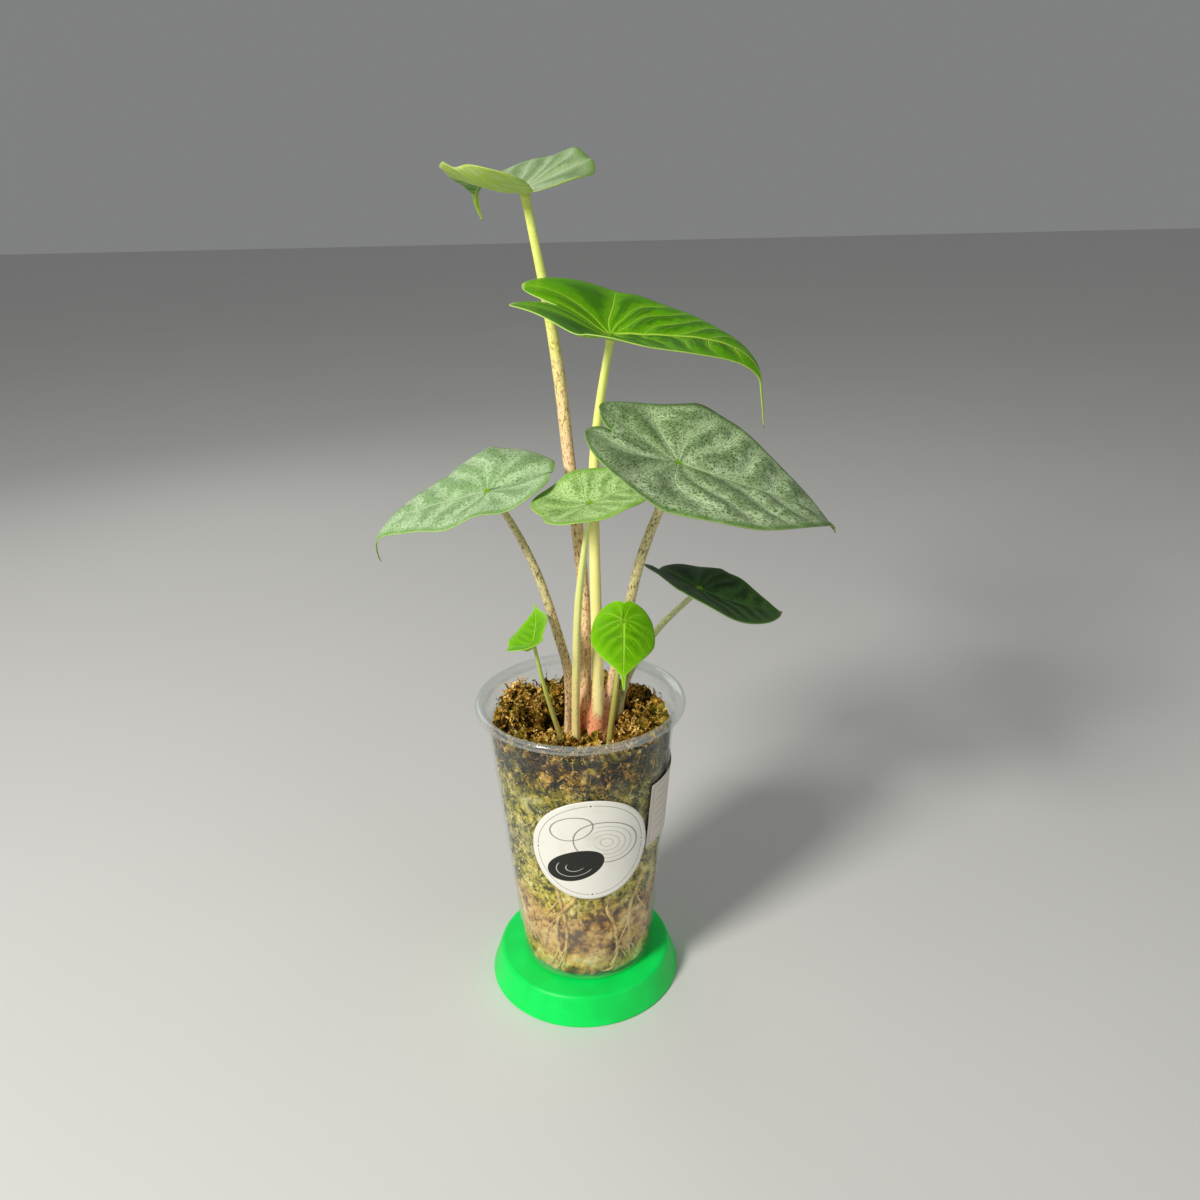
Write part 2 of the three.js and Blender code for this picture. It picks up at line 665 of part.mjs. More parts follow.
// A thin label laid on the sloping side of the cup. Its outline is given by spots along and up from its middle.
function onCup(turn, height, along, up) {
  const z = height + up;
  const radius = cupRadius(z) + clearance + labelThickness / 2;
  const angle = radians(turn) + along / radius;
  return new THREE.Vector3(cup.x + radius * Math.cos(angle), cup.y + radius * Math.sin(angle), z);
}

function roundLabelGeometry() {
  const rings = 4;
  const sides = 28;
  const vertices = [onCup(roundLabel.turn, roundLabel.height, 0, 0)];
  const grid = [new Array(sides + 1).fill(0)];
  for (let i = 1; i <= rings; i += 1) {
    const row = [];
    for (let k = 0; k < sides; k += 1) {
      const angle = (2 * Math.PI * k) / sides;
      const reach = (roundLabel.radius * i) / rings;
      const spot = [reach * Math.cos(angle), reach * Math.sin(angle)];
      row.push(vertices.push(onCup(roundLabel.turn, roundLabel.height, ...spot)) - 1);
    }
    grid.push([...row, row[0]]);
  }
  return thicken(fromRows(vertices, gridTriangles(grid)), labelThickness);
}

function sideLabelGeometry() {
  const columns = 8;
  const rows = 2;
  const vertices = [];
  const grid = [];
  for (let i = 0; i <= columns; i += 1) {
    const row = [];
    for (let k = 0; k <= rows; k += 1) {
      const along = sideLabel.length * (i / columns - 0.5);
      const up = sideLabel.width * (k / rows - 0.5);
      row.push(vertices.push(onCup(sideLabel.turn, sideLabel.height, along, up)) - 1);
    }
    grid.push(row);
  }
  return thicken(fromRows(vertices, gridTriangles(grid)), labelThickness);
}

const plant = new THREE.Group();

function addPiece(name, geometry, colour, roughness, extra = {}) {
  const material = new THREE.MeshStandardMaterial({ color: colour, roughness, metalness: 0, ...extra });
  material.name = name;
  const mesh = new THREE.Mesh(closed(geometry), material);
  mesh.name = name;
  plant.add(mesh);
}

// Moss, with plain holes for everything that stands in it
let mossBody = toManifold(mossGeometry());
mossBody = mossBody.subtract(toManifold(crownGeometry(clearance)));
mossBody = mossBody.subtract(rootSolid(clearance));
for (const leaf of leaves) {
  if (leaf.stalk[0][2] > crown.top) continue;
  mossBody = mossBody.subtract(toManifold(stalkGeometry(leaf, clearance)));
}

addPiece('stand', standGeometry(), '#11e05c', 0.45);
addPiece('cup', cupGeometry(), '#e6ebea', 0.08, { transparent: true, opacity: 0.3 });
addPiece('moss', fromManifold(mossBody), '#8a7a33', 0.95);
addPiece('roots', fromManifold(rootSolid()), '#d8c79a', 0.7);
addPiece('crown', crownGeometry(), '#d99a7c', 0.55);
for (const leaf of leaves) {
  addPiece(`stalk_${leaf.name}`, stalkGeometry(leaf), '#b9a878', 0.5);
  addPiece(`blade_${leaf.name}`, bladeGeometry(leaf), leaf.colour, 0.5, { side: THREE.DoubleSide });
}
addPiece('label_round', roundLabelGeometry(), '#f2f0ea', 0.6);
addPiece('label_side', sideLabelGeometry(), '#efece6', 0.6);

export default plant;
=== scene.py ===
# A potted alocasia: eight shield-shaped leaves on long stalks, rooted in moss in a clear cup on a stand.
# Shapes are worked out in millimetres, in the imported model's own frame, and become metres in makePiece.

import math
import bpy
import numpy as np
from mathutils import Matrix, Vector, noise


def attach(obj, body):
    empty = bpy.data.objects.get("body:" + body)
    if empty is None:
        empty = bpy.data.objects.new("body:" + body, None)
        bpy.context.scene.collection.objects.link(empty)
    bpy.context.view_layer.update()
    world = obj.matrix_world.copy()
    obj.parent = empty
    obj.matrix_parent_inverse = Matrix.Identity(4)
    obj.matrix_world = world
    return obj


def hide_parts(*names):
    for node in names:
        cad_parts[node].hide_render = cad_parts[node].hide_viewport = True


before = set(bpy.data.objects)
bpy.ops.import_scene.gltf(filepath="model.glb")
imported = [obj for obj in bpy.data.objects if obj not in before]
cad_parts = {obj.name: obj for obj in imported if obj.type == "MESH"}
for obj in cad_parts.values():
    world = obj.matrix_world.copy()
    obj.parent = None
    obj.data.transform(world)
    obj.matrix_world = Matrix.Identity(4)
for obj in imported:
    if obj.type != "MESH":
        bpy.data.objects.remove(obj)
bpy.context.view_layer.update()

print("frame loaded, with", len(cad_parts), "nodes")


# Finishes

def tint(code):  # a linear colour from a hex code
    parts = [int(code[i:i + 2], 16) / 255 for i in (1, 3, 5)]
    return tuple(p / 12.92 if p <= 0.04045 else ((p + 0.055) / 1.055) ** 2.4 for p in parts) + (1.0,)


class Wire:  # a socket that can stand in a sum
    def __init__(self, finish, socket):
        self.finish = finish
        self.socket = socket

    def __add__(self, other):
        return self.finish.maths("ADD", self, other)

    def __sub__(self, other):
        return self.finish.maths("SUBTRACT", self, other)

    def __rsub__(self, other):
        return self.finish.maths("SUBTRACT", other, self)

    def __mul__(self, other):
        return self.finish.maths("MULTIPLY", self, other)

    def __truediv__(self, other):
        return self.finish.maths("DIVIDE", self, other)

    def __pow__(self, other):
        return self.finish.maths("POWER", self, other)

    def __abs__(self):
        return self.finish.maths("ABSOLUTE", self)

    __radd__ = __add__
    __rmul__ = __mul__


class Finish:  # one material and the nodes in it
    def __init__(self, name):
        self.material = bpy.data.materials.new(name)
        self.material.use_nodes = True
        self.tree = self.material.node_tree
        self.tree.nodes.clear()
        self.place = 0

    def node(self, kind, settings=None, inputs=None, outlet=0):
        made = self.tree.nodes.new(kind)
        self.place += 1
        made.location = (190 * (self.place % 12), -220 * (self.place // 12))
        for key, value in (settings or {}).items():
            if key == "stops":
                self.setStops(made.color_ramp, value)
            else:
                setattr(made, key, value)
        for key, value in (inputs or {}).items():
            if isinstance(value, Wire):
                self.tree.links.new(value.socket, made.inputs[key])
            else:
                made.inputs[key].default_value = tint(value) if isinstance(value, str) else value
        return Wire(self, made.outputs[outlet]) if len(made.outputs) else made

    def setStops(self, ramp, stops):
        while len(ramp.elements) < len(stops):
            ramp.elements.new(0.5)
        for element, (spot, code) in zip(ramp.elements, stops):
            element.position = spot
            element.color = tint(code)

    def maths(self, operation, *values):
        return self.node("ShaderNodeMath", {"operation": operation}, dict(enumerate(values)))

    def step(self, value, low, high, start=0.0, end=1.0):  # a smooth change from start to end
        return self.node("ShaderNodeMapRange", {"interpolation_type": "SMOOTHSTEP"},
                         {"Value": value, "From Min": low, "From Max": high, "To Min": start, "To Max": end})

    def spot(self, name, outlet="Fac"):  # a value kept in the mesh
        return self.node("ShaderNodeAttribute", {"attribute_name": name}, None, outlet)

    def place3d(self):
        return self.node("ShaderNodeTexCoord", None, None, "Object")

    def split(self, vector):
        made = self.node("ShaderNodeSeparateXYZ", None, {"Vector": vector})
        return [Wire(self, socket) for socket in made.socket.node.outputs]

    def join(self, x, y, z):
        return self.node("ShaderNodeCombineXYZ", None, {"X": x, "Y": y, "Z": z})

    def vectorMaths(self, operation, *values, outlet=0):
        return self.node("ShaderNodeVectorMath", {"operation": operation}, dict(enumerate(values)), outlet)

    def length(self, vector):
        return self.vectorMaths("LENGTH", vector, outlet="Value")

    def stretch(self, vector, by):
        return self.vectorMaths("MULTIPLY", vector, by)

    def most(self, first, *others):
        for other in others:
            first = self.maths("MAXIMUM", first, other)
        return first

    def fold(self, value, size):  # up and down between 0 and size
        return self.maths("PINGPONG", value, size)

    def noise(self, vector, scale, detail=3.0, roughness=0.5, outlet="Fac"):
        return self.node("ShaderNodeTexNoise", None,
                         {"Vector": vector, "Scale": scale, "Detail": detail, "Roughness": roughness}, outlet)

    def cells(self, vector, scale, feature="F1", outlet="Distance"):
        inputs = {"Vector": vector, "Scale": scale}
        return self.node("ShaderNodeTexVoronoi", {"feature": feature}, inputs, outlet)

    def mix(self, first, second, share):  # from the first colour to the second
        return self.node("ShaderNodeMix", {"data_type": "RGBA"}, {0: share, 6: first, 7: second}, 2)

    def layers(self, colour, *coats):  # each coat is a colour and how much of it shows
        for coat, share in coats:
            colour = self.mix(colour, coat, share)
        return colour

    def ramp(self, value, stops):
        return self.node("ShaderNodeValToRGB", {"stops": stops}, {"Fac": value}, "Color")

    def bump(self, height, depth):  # height 0 to 1, depth in millimetres
        inputs = {"Height": height, "Strength": 1.0, "Distance": depth * 0.001}
        return self.node("ShaderNodeBump", None, inputs, "Normal")

    def warp(self, vector, scale, amount):  # the vector pushed about by a noise
        cloud = self.noise(vector, scale, 2.0, 0.5, "Color")
        push = self.vectorMaths("SUBTRACT", cloud, (0.5, 0.5, 0.5))
        return self.vectorMaths("ADD", vector, self.stretch(push, (amount,) * 3))

    def surface(self, sockets):
        return self.node("ShaderNodeBsdfPrincipled", None, sockets)

    def done(self, shader):
        self.node("ShaderNodeOutputMaterial", None, {"Surface": shader})
        return self.material


# Meshes

def lerp(low, high, share):
    return low + (high - low) * share


def unit(vectors):  # the same directions, each of length 1
    return vectors / np.maximum(np.linalg.norm(vectors, axis=-1, keepdims=True), 1e-9)


def twice(values):  # for the two faces of a sheet
    return np.concatenate([values, values])


def turns(count):  # evenly spaced round a circle
    return 2 * math.pi * np.arange(count) / count


def roundSpots(radius, turn, z):
    return np.stack(np.broadcast_arrays(radius * np.cos(turn), radius * np.sin(turn), z), -1)


def addObject(name, data):
    made = bpy.data.objects.new(name, data)
    bpy.context.scene.collection.objects.link(made)
    return made


def makePiece(name, points, faces, spots=None, slot=None, stands=(), finish=None):
    # faces is a list of arrays of triangles or quads, spots the values kept at the vertices
    points = np.asarray(points, float) * 0.001
    groups = [np.asarray(part, int) for part in faces if len(part)]
    corners = np.concatenate([part.ravel() for part in groups])
    sizes = np.concatenate([np.full(len(part), part.shape[1]) for part in groups])
    mesh = bpy.data.meshes.new(name)
    mesh.vertices.add(len(points))
    mesh.vertices.foreach_set("co", points.astype(np.float32).ravel())
    mesh.loops.add(len(corners))
    mesh.loops.foreach_set("vertex_index", corners.astype(np.int32))
    mesh.polygons.add(len(sizes))
    mesh.polygons.foreach_set("loop_start", (np.cumsum(sizes) - sizes).astype(np.int32))
    mesh.polygons.foreach_set("use_smooth", np.ones(len(sizes), bool))
    mesh.update(calc_edges=True)
    for key, values in (spots or {}).items():
        values = np.asarray(values, np.float32)
        flat = values.ndim == 1
        layer = mesh.attributes.new(key, "FLOAT" if flat else "FLOAT_VECTOR", "POINT")
        layer.data.foreach_set("value" if flat else "vector", values.ravel())
    return dress(addObject(name, mesh), slot, stands, finish)


def dress(piece, slot, stands, finish):
    if finish is not None:
        piece.data.materials.clear()
        piece.data.materials.append(finish)
    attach(piece, "root")
    if stands:
        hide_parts(*stands)
    return piece


def gridFaces(rows, columns, wrap=False, first=0):  # quads of a grid of vertices, row after row
    i, j = np.meshgrid(np.arange(rows - 1), np.arange(columns if wrap else columns - 1), indexing="ij")
    after = (j + 1) % columns
    a, b = i * columns + j, (i + 1) * columns + j
    c, d = (i + 1) * columns + after, i * columns + after
    return first + np.stack([a, b, c, d], -1).reshape(-1, 4)


def fanFaces(centre, ring, flip=False):  # triangles that close a ring
    after = np.roll(ring, -1)
    fan = np.stack([np.full(len(ring), centre), ring, after], -1)
    return fan[:, ::-1] if flip else fan


def withoutSlivers(quads):  # quads with two corners alike become triangles
    quads = np.asarray(quads, int)
    triangles = []
    keep = np.ones(len(quads), bool)
    for k in range(4):
        same = (quads[:, k] == quads[:, (k + 1) % 4]) & keep
        found = quads[same]
        rest = np.stack([found[:, (k + 1) % 4], found[:, (k + 2) % 4], found[:, (k + 3) % 4]], -1)
        triangles.append(rest)
        keep &= ~same
    triangles = np.concatenate(triangles)
    proper = (triangles[:, 0] != triangles[:, 1]) & (triangles[:, 1] != triangles[:, 2])
    proper &= triangles[:, 2] != triangles[:, 0]
    return quads[keep], triangles[proper]


def pointNormals(points, quads, triangles):
    total = np.zeros_like(points)
    p, q = points[quads], points[triangles]
    acrossQuads = np.cross(p[:, 2] - p[:, 0], p[:, 3] - p[:, 1])
    acrossTriangles = np.cross(q[:, 1] - q[:, 0], q[:, 2] - q[:, 0])
    for group, normals in ((quads, acrossQuads), (triangles, acrossTriangles)):
        for corner in group.T:
            np.add.at(total, corner, normals)
    return unit(total)


def smoothCurve(points, shares):
    # a centripetal spline through the points: places and directions at shares from 0 to 1
    points = np.asarray(points, float)
    ends = np.vstack([2 * points[0] - points[1], points, 2 * points[-1] - points[-2]])
    spot = np.clip(np.asarray(shares, float), 0, 1) * (len(points) - 1)
    low = np.minimum(spot.astype(int), len(points) - 2)
    t = (spot - low)[:, None]
    p = [ends[low + k] for k in range(4)]
    d = [np.maximum(np.linalg.norm(p[k + 1] - p[k], axis=1), 1e-6)[:, None] ** 0.5 for k in range(3)]
    start = ((p[1] - p[0]) / d[0] - (p[2] - p[0]) / (d[0] + d[1]) + (p[2] - p[1]) / d[1]) * d[1]
    end = ((p[2] - p[1]) / d[1] - (p[3] - p[1]) / (d[1] + d[2]) + (p[3] - p[2]) / d[2]) * d[1]
    a = 2 * p[1] - 2 * p[2] + start + end
    b = -3 * p[1] + 3 * p[2] - 2 * start - end
    place = ((a * t + b) * t + start) * t + p[1]
    direction = (3 * a * t + 2 * b) * t + start
    return place, unit(direction)


def ringsAround(places, directions, radii, sides, shape=None):
    # rings of points round a path, and the turn of each point. shape changes the radius with turn and share.
    aside = unit(np.array([1.0, 0, 0]) - directions * directions[:, :1])
    across = np.cross(directions, aside)
    turn = turns(sides)
    share = np.linspace(0, 1, len(places))
    grown = radii[:, None] * np.ones(sides)
    if shape is not None:
        grown = grown * shape(turn[None, :], share[:, None])
    rings = places[:, None] + grown[..., None] * (
        aside[:, None] * np.cos(turn)[None, :, None] + across[:, None] * np.sin(turn)[None, :, None])
    return rings, np.broadcast_to(turn, grown.shape), grown


def tubeFaces(rings, sides, first=0):  # a closed tube: two ends follow the rings
    faces = gridFaces(rings, sides, True, first)[:, ::-1]
    foot, head = first + rings * sides, first + rings * sides + 1
    low = fanFaces(foot, first + np.arange(sides), True)
    high = fanFaces(head, first + (rings - 1) * sides + np.arange(sides))
    return faces, np.concatenate([low, high])


def turnedPiece(name, profile, segments, centre, **dressing):  # a closed body of revolution
    profile = np.array(profile, float)
    inner = profile[1:-1]
    rings = roundSpots(inner[:, :1], turns(segments), inner[:, 1:])
    ends = np.array([[0, 0, profile[0, 1]], [0, 0, profile[-1, 1]]])
    points = np.concatenate([rings.reshape(-1, 3), ends]) + np.array(centre)
    quads, triangles = tubeFaces(len(inner), segments)
    return makePiece(name, points, [quads, triangles], **dressing)


def fineProfile(corners, round=0.35, steps=3):  # corners of a profile, rounded
    corners = [np.array(c, float) for c in corners]
    out = [corners[0]]
    for before, here, after in zip(corners, corners[1:], corners[2:]):
        reach = min(round, 0.45 * np.linalg.norm(here - before), 0.45 * np.linalg.norm(after - here))
        start = here + (before - here) / np.linalg.norm(before - here) * reach
        end = here + (after - here) / np.linalg.norm(after - here) * reach
        for t in np.linspace(0, 1, steps + 1):
            out.append((1 - t) ** 2 * start + 2 * t * (1 - t) * here + t ** 2 * end)
    return out + [corners[-1]]


# Stand

stand = {
    "height": 14.6,
    "topRadius": 42.5,
    "footRadius": 47.2,
    "edge": 1.2,
    "segments": 160,
    "green": "#00f062",
    "shade": "#00e256",
    "layerHeight": 0.3,
}


def standFinish():
    paint = Finish("satin green")
    place = paint.place3d()
    z = paint.split(place)[2]
    cloud = paint.noise(place, 60.0)
    colour = paint.mix(stand["green"], stand["shade"], paint.step(cloud, 0.35, 0.7))
    layers = paint.fold(z * 1000.0, stand["layerHeight"] / 2) / (stand["layerHeight"] / 2)
    grain = paint.noise(place, 2600.0, 2.0)
    squashed = paint.stretch(place, (1.0, 1.0, 5.0))
    scuffs = paint.step(paint.noise(squashed, 420.0, 4.0), 0.62, 0.72)
    rough = 0.34 + grain * 0.08 + scuffs * 0.12
    normal = paint.bump(layers * 0.5 + grain * 0.5, 0.035)
    return paint.done(paint.surface({"Base Color": colour, "Roughness": rough, "Normal": normal,
                                     "Specular IOR Level": 0.3, "IOR": 1.5}))


turnedPiece("standBody", fineProfile([
    [0, 0],
    [stand["footRadius"] - 0.6, 0],
    [stand["footRadius"], 0.8],
    [stand["topRadius"] + 0.3, stand["height"] - stand["edge"]],
    [stand["topRadius"] - 0.3, stand["height"] - 0.4],
    [stand["topRadius"] - stand["edge"], stand["height"]],
    [0, stand["height"]],
]), stand["segments"], (0, 0, 0), slot="stand", stands=["stand"], finish=standFinish())
print("stand made")


# Cup

cup = {
    "x": 1.5,
    "y": 0.5,
    "height": 139.0,
    "footRadius": 32.5,
    "shoulderRadius": 43.6,
    "rimRadius": 49.0,
    "rimHeight": 4.4,
    "ledgeDepth": 9.0,
    "ledgeStep": 1.5,
    "wall": 0.9,
    "segments": 168,
    "plastic": "#e6ecea",
    "haze": 0.006,
}
clearance = 0.3  # left between pieces that rest on each other
cupFloor = stand["height"] + clearance
cupRim = cupFloor + cup["height"]


def cupRadius(z):  # outside of the sloping wall
    ledge = cupRim - cup["ledgeDepth"] - cup["ledgeStep"]
    share = np.clip((np.asarray(z, float) - cupFloor) / (ledge - cupFloor), 0, 1)
    return lerp(cup["footRadius"], cup["shoulderRadius"], share)


def cupFinish():
    paint = Finish("clear cup plastic")
    place = paint.place3d()
    x, y, z = paint.split(place)
    facing = paint.node("ShaderNodeLayerWeight", None, {"Blend": 0.5}, "Facing")
    gloss = facing ** 4.0
    turn = paint.maths("ARCTAN2", y - cup["y"] * 0.001, x - cup["x"] * 0.001)
    drawn = paint.join(turn * 9.0, 0.0, z * 14.0)  # long upright streaks from forming the cup
    streaks = paint.step(paint.noise(drawn, 2.2, 4.0, 0.6), 0.52, 0.72)
    mist = paint.step(paint.noise(place, 70.0, 4.0, 0.6), 0.46, 0.75)
    drops = 1 - paint.step(paint.cells(place, 640.0), 0.12, 0.3)
    wet = drops * paint.step(paint.noise(place, 120.0, 2.0), 0.5, 0.62) * paint.step(z, 0.085, 0.125)
    level = paint.noise(paint.join(turn * 30.0, 0.0, z * 260.0), 3.0, 2.0)
    scratch = 1 - paint.step(abs(level - 0.5), 0.0, 0.012)
    low = paint.step(z, 0.075, 0.045) * paint.step(paint.noise(place, 45.0), 0.35, 0.6)
    shell = paint.step(z, cupRim * 0.001 - 0.0048, cupRim * 0.001 - 0.0042)
    mirror = 0.018 + gloss * 0.5 + shell * 0.09
    veil = cup["haze"] + streaks * 0.012 + mist * 0.03 + wet * 0.2 + low * 0.05 + scratch * 0.06 + shell * 0.1
    share = mirror + veil
    rough = 0.05 + mist * 0.12 + wet * 0.1
    normal = paint.bump(streaks * 0.4 + wet * 0.6 + paint.noise(place, 160.0, 2.0) * 0.8, 0.09)
    plastic = paint.surface({"Base Color": cup["plastic"], "Roughness": rough, "Normal": normal,
                             "Metallic": mirror / share, "IOR": 1.5})
    clear = paint.node("ShaderNodeBsdfTransparent", None, {"Color": (0.97, 0.985, 0.98, 1.0)})
    return paint.done(paint.node("ShaderNodeMixShader", None,
                                 {0: paint.maths("MINIMUM", share, 1.0), 1: clear, 2: plastic}))


def cupProfile():
    height, foot, shoulder, rim = cup["height"], cup["footRadius"], cup["shoulderRadius"], cup["rimRadius"]
    wall, rimHeight = cup["wall"], cup["rimHeight"]
    neck = shoulder + 1.6
    ledge = height - cup["ledgeDepth"]
    return fineProfile([
        [0, 0],
        [foot - 1.6, 0],
        [foot - 0.3, 0.8],
        [foot, 2.4],
        [lerp(foot, shoulder, 0.5), lerp(2.4, ledge - cup["ledgeStep"], 0.5)],
        [shoulder, ledge - cup["ledgeStep"]],
        [neck - 0.4, ledge],
        [neck - 0.1, ledge + 1.9],
        [neck - 0.5, ledge + 2.3],
        [neck, height - rimHeight],
        [rim - 1.4, height - rimHeight],
        [rim - 0.3, height - rimHeight + 0.9],
        [rim, height - rimHeight / 2],
        [rim - 0.6, height - 0.7],
        [rim - 1.9, height],
        [rim - 3.1, height - 0.6],
        [neck - wall, height - 2],
        [neck - wall - 0.4, ledge + 0.2],
        [shoulder - wall, ledge - cup["ledgeStep"] + 0.2],
        [lerp(foot, shoulder, 0.5) - wall, lerp(2.4, ledge - cup["ledgeStep"], 0.5)],
        [foot - wall, 2.8],
        [foot - wall - 1.4, wall],
        [0, wall],
    ])


turnedPiece("cupBody", cupProfile(), cup["segments"], (cup["x"], cup["y"], cupFloor),
            slot="cup", stands=["cup"], finish=cupFinish())
print("cup made")


# Moss

moss = {
    "middleHeight": 133.5,
    "wallHeight": 142.0,
    "plant": (6.9, 0.1),
    "tufts": [  # x, y, height and width of each; the last is the hollow in front of the crown
        (-28, -6.5, 19, 2.6), (-30.6, -8, 10, 2.2), (-25.6, -5.4, 9, 2.2), (-31, -3, 3, 7), (23, -20, 5, 5),
        (-16, -21, 3, 6), (-9, 28, 4, 7), (24, 20, 6, 6), (8, -14, -5, 9),
    ],
    "lumps": (8.0, 3.0),  # their size, and the seed that tells them from other noises
    "topReach": 40.5,  # how far from the cup's axis a shoot on top may start
    "topHold": 41.3,  # and how far it may reach
    "around": 230,
    "sideRows": 96,
    "topRings": 52,
    "sideStrands": 1900,
    "topStrands": 2200,
    "low": [(0.0, "#4e300c"), (0.22, "#9a661c"), (0.5, "#dda648"), (0.78, "#f3cb74"), (1.0, "#ffe9ae")],
    "middle": [(0.0, "#1c1c04"), (0.2, "#66640e"), (0.42, "#b3a524"), (0.7, "#e6d05c"), (1.0, "#fff2b8")],
    "top": [(0.0, "#0a0601"), (0.3, "#3a2705"), (0.52, "#8a6415"), (0.74, "#dcaa3a"), (1.0, "#ffd98a")],
    "dark": "#141303",
    "green": "#94941f",
    "haze": "#b9b29a",
    "shadow": "#5f5c44",
    "rust": "#a3572a",
}
chance = np.random.default_rng(71)


def mossTop(x, y):  # height of the bed, x and y from the cup's axis
    distance = np.clip(np.hypot(x, y) / 41.5, 0, 1)
    z = lerp(moss["middleHeight"], moss["wallHeight"], distance ** 2.4)
    for tuftX, tuftY, height, width in moss["tufts"]:
        z = z + height * np.exp(-((x - tuftX) ** 2 + (y - tuftY) ** 2) / width ** 2)
    return z


def mossSurface(x, y):  # the same with its lumps
    spots = np.stack([x, y, 0 * x], -1)
    return mossTop(x, y) + cloudAt(spots, *moss["lumps"]) * 6.5 + cloudAt(spots, 3.2, 9.0) * 2.2


def cloudAt(points, size, seed=0.0):  # a soft lumpy value for each point
    return np.array([noise.fractal(Vector((p[0] / size + seed, p[1] / size, p[2] / size)), 0.8, 2.1, 4)
                     for p in points])


def hollowShadeAt(points):  # 1 in the hollows between the lumps, where painted shade darkens the moss
    return np.clip(0.45 - cloudAt(points, *moss["lumps"]) * 1.8, 0, 1)


def wallInside(z):
    return np.minimum(cupRadius(z), cup["shoulderRadius"]) - cup["wall"]


def mossLevel(paint, place):  # the height in millimetres, up and down by a noise, so that the zones wander
    return paint.split(place)[2] * 1000.0 + (paint.noise(place, 38.0) * 26.0 - 13.0)


def mossFinish(name, strand):
    paint = Finish(name)
    place = paint.place3d()
    level = mossLevel(paint, place)
    clump = paint.noise(place, 140.0, 4.0, 0.62)
    speck = paint.noise(place, 1000.0, 3.0, 0.6)
    patch = paint.noise(place, 62.0, 4.0, 0.6)
    small = paint.noise(place, 430.0)
    coarse = patch * 0.45 + clump * 0.4 + small * 0.1 + speck * 0.05
    value = patch * 0.15 + clump * 0.45 + small * 0.25 + speck * 0.15
    value = value + (coarse - value) * paint.step(level, 70.0, 50.0) * 0.8
    if strand:
        value = value * 0.7 + paint.spot("tone") * 0.14 + paint.spot("reach") * 0.16 + 0.02
    value = paint.step(value, 0.37, 0.63) if strand else paint.step(value, 0.39, 0.61)
    # painted shade: the moss is darkened where its hollow value is high, more towards the top
    value = value * (1 - paint.spot("hollow") * paint.step(level, 104.0, 130.0, 0.1, 0.66))
    low, middle, top = (paint.ramp(value, moss[zone]) for zone in ("low", "middle", "top"))
    hazy = paint.step(level, 62.0, 84.0) * paint.step(level, 124.0, 104.0) * paint.step(patch, 0.46, 0.58)
    green = paint.step(patch, 0.5, 0.62) * paint.step(level, 100.0, 124.0)
    rust = paint.step(paint.noise(place, 210.0, 2.0), 0.6, 0.68) * paint.step(level, 118.0, 132.0) * value
    colour = paint.layers(
        low,
        (middle, paint.step(level, 52.0, 66.0)),
        (paint.mix(moss["haze"], moss["shadow"], 1 - value), hazy * 0.55),
        (top, paint.step(level, 112.0, 134.0)),
        (paint.mix(moss["dark"], moss["green"], value), green * 0.6),
        (moss["rust"], rust * 0.55),
    )
    normal = paint.bump(speck * 0.4 + small * 0.8 + clump, 0.9)
    return paint.done(paint.surface({"Base Color": colour, "Roughness": 0.72 + speck * 0.25, "Normal": normal,
                                     "Specular IOR Level": 0.2}))


def mossBed():
    around = moss["around"]
    wall = roundSpots(1, turns(around), 0)[:, :2]
    floor = cupFloor + cup["wall"] + clearance
    rows = [np.column_stack([26 * wall, np.full(around, floor)])]
    edge = mossTop(*(41.0 * wall).T) - 1.2
    for share in np.linspace(0, 1, moss["sideRows"]):
        z = lerp(floor + 1.5, edge, share)
        rows.append(np.column_stack([(wallInside(z) - 0.6)[:, None] * wall, z]))
    sideCount = len(rows)
    for share in np.linspace(0.985, 0.02, moss["topRings"]):
        spot = (wallInside(140.0) - 0.6) * share * wall
        rows.append(np.column_stack([spot, mossSurface(*spot.T)]))
    points = np.concatenate(rows)
    lump = cloudAt(points, 4.5)
    fine = cloudAt(points, 1.9, 7.0)
    side = np.arange(len(points)) < sideCount * around
    sink = np.clip(0.55 - lump - fine * 0.4, 0.05, 1.7)
    spots = points.copy()
    spots[~side, 2] = 0  # on top, the lumps were made from x and y alone
    # painted shade of the hollows between the lumps, kept at each vertex
    hollow = hollowShadeAt(spots)
    radius = np.hypot(points[:, 0], points[:, 1])
    moved = np.where(side, radius - sink, radius)
    points[:, :2] *= (moved / radius)[:, None]
    ends = np.array([[0, 0, floor], [0, 0, moss["middleHeight"] - 1]])
    points = np.concatenate([points, ends]) + np.array([cup["x"], cup["y"], 0])
    quads, triangles = tubeFaces(len(rows), around)
    return makePiece("mossBed", points, [quads, triangles], {"hollow": np.append(hollow, [0, 1])},
                     slot="moss", stands=["moss"], finish=mossFinish("moss bed", False))


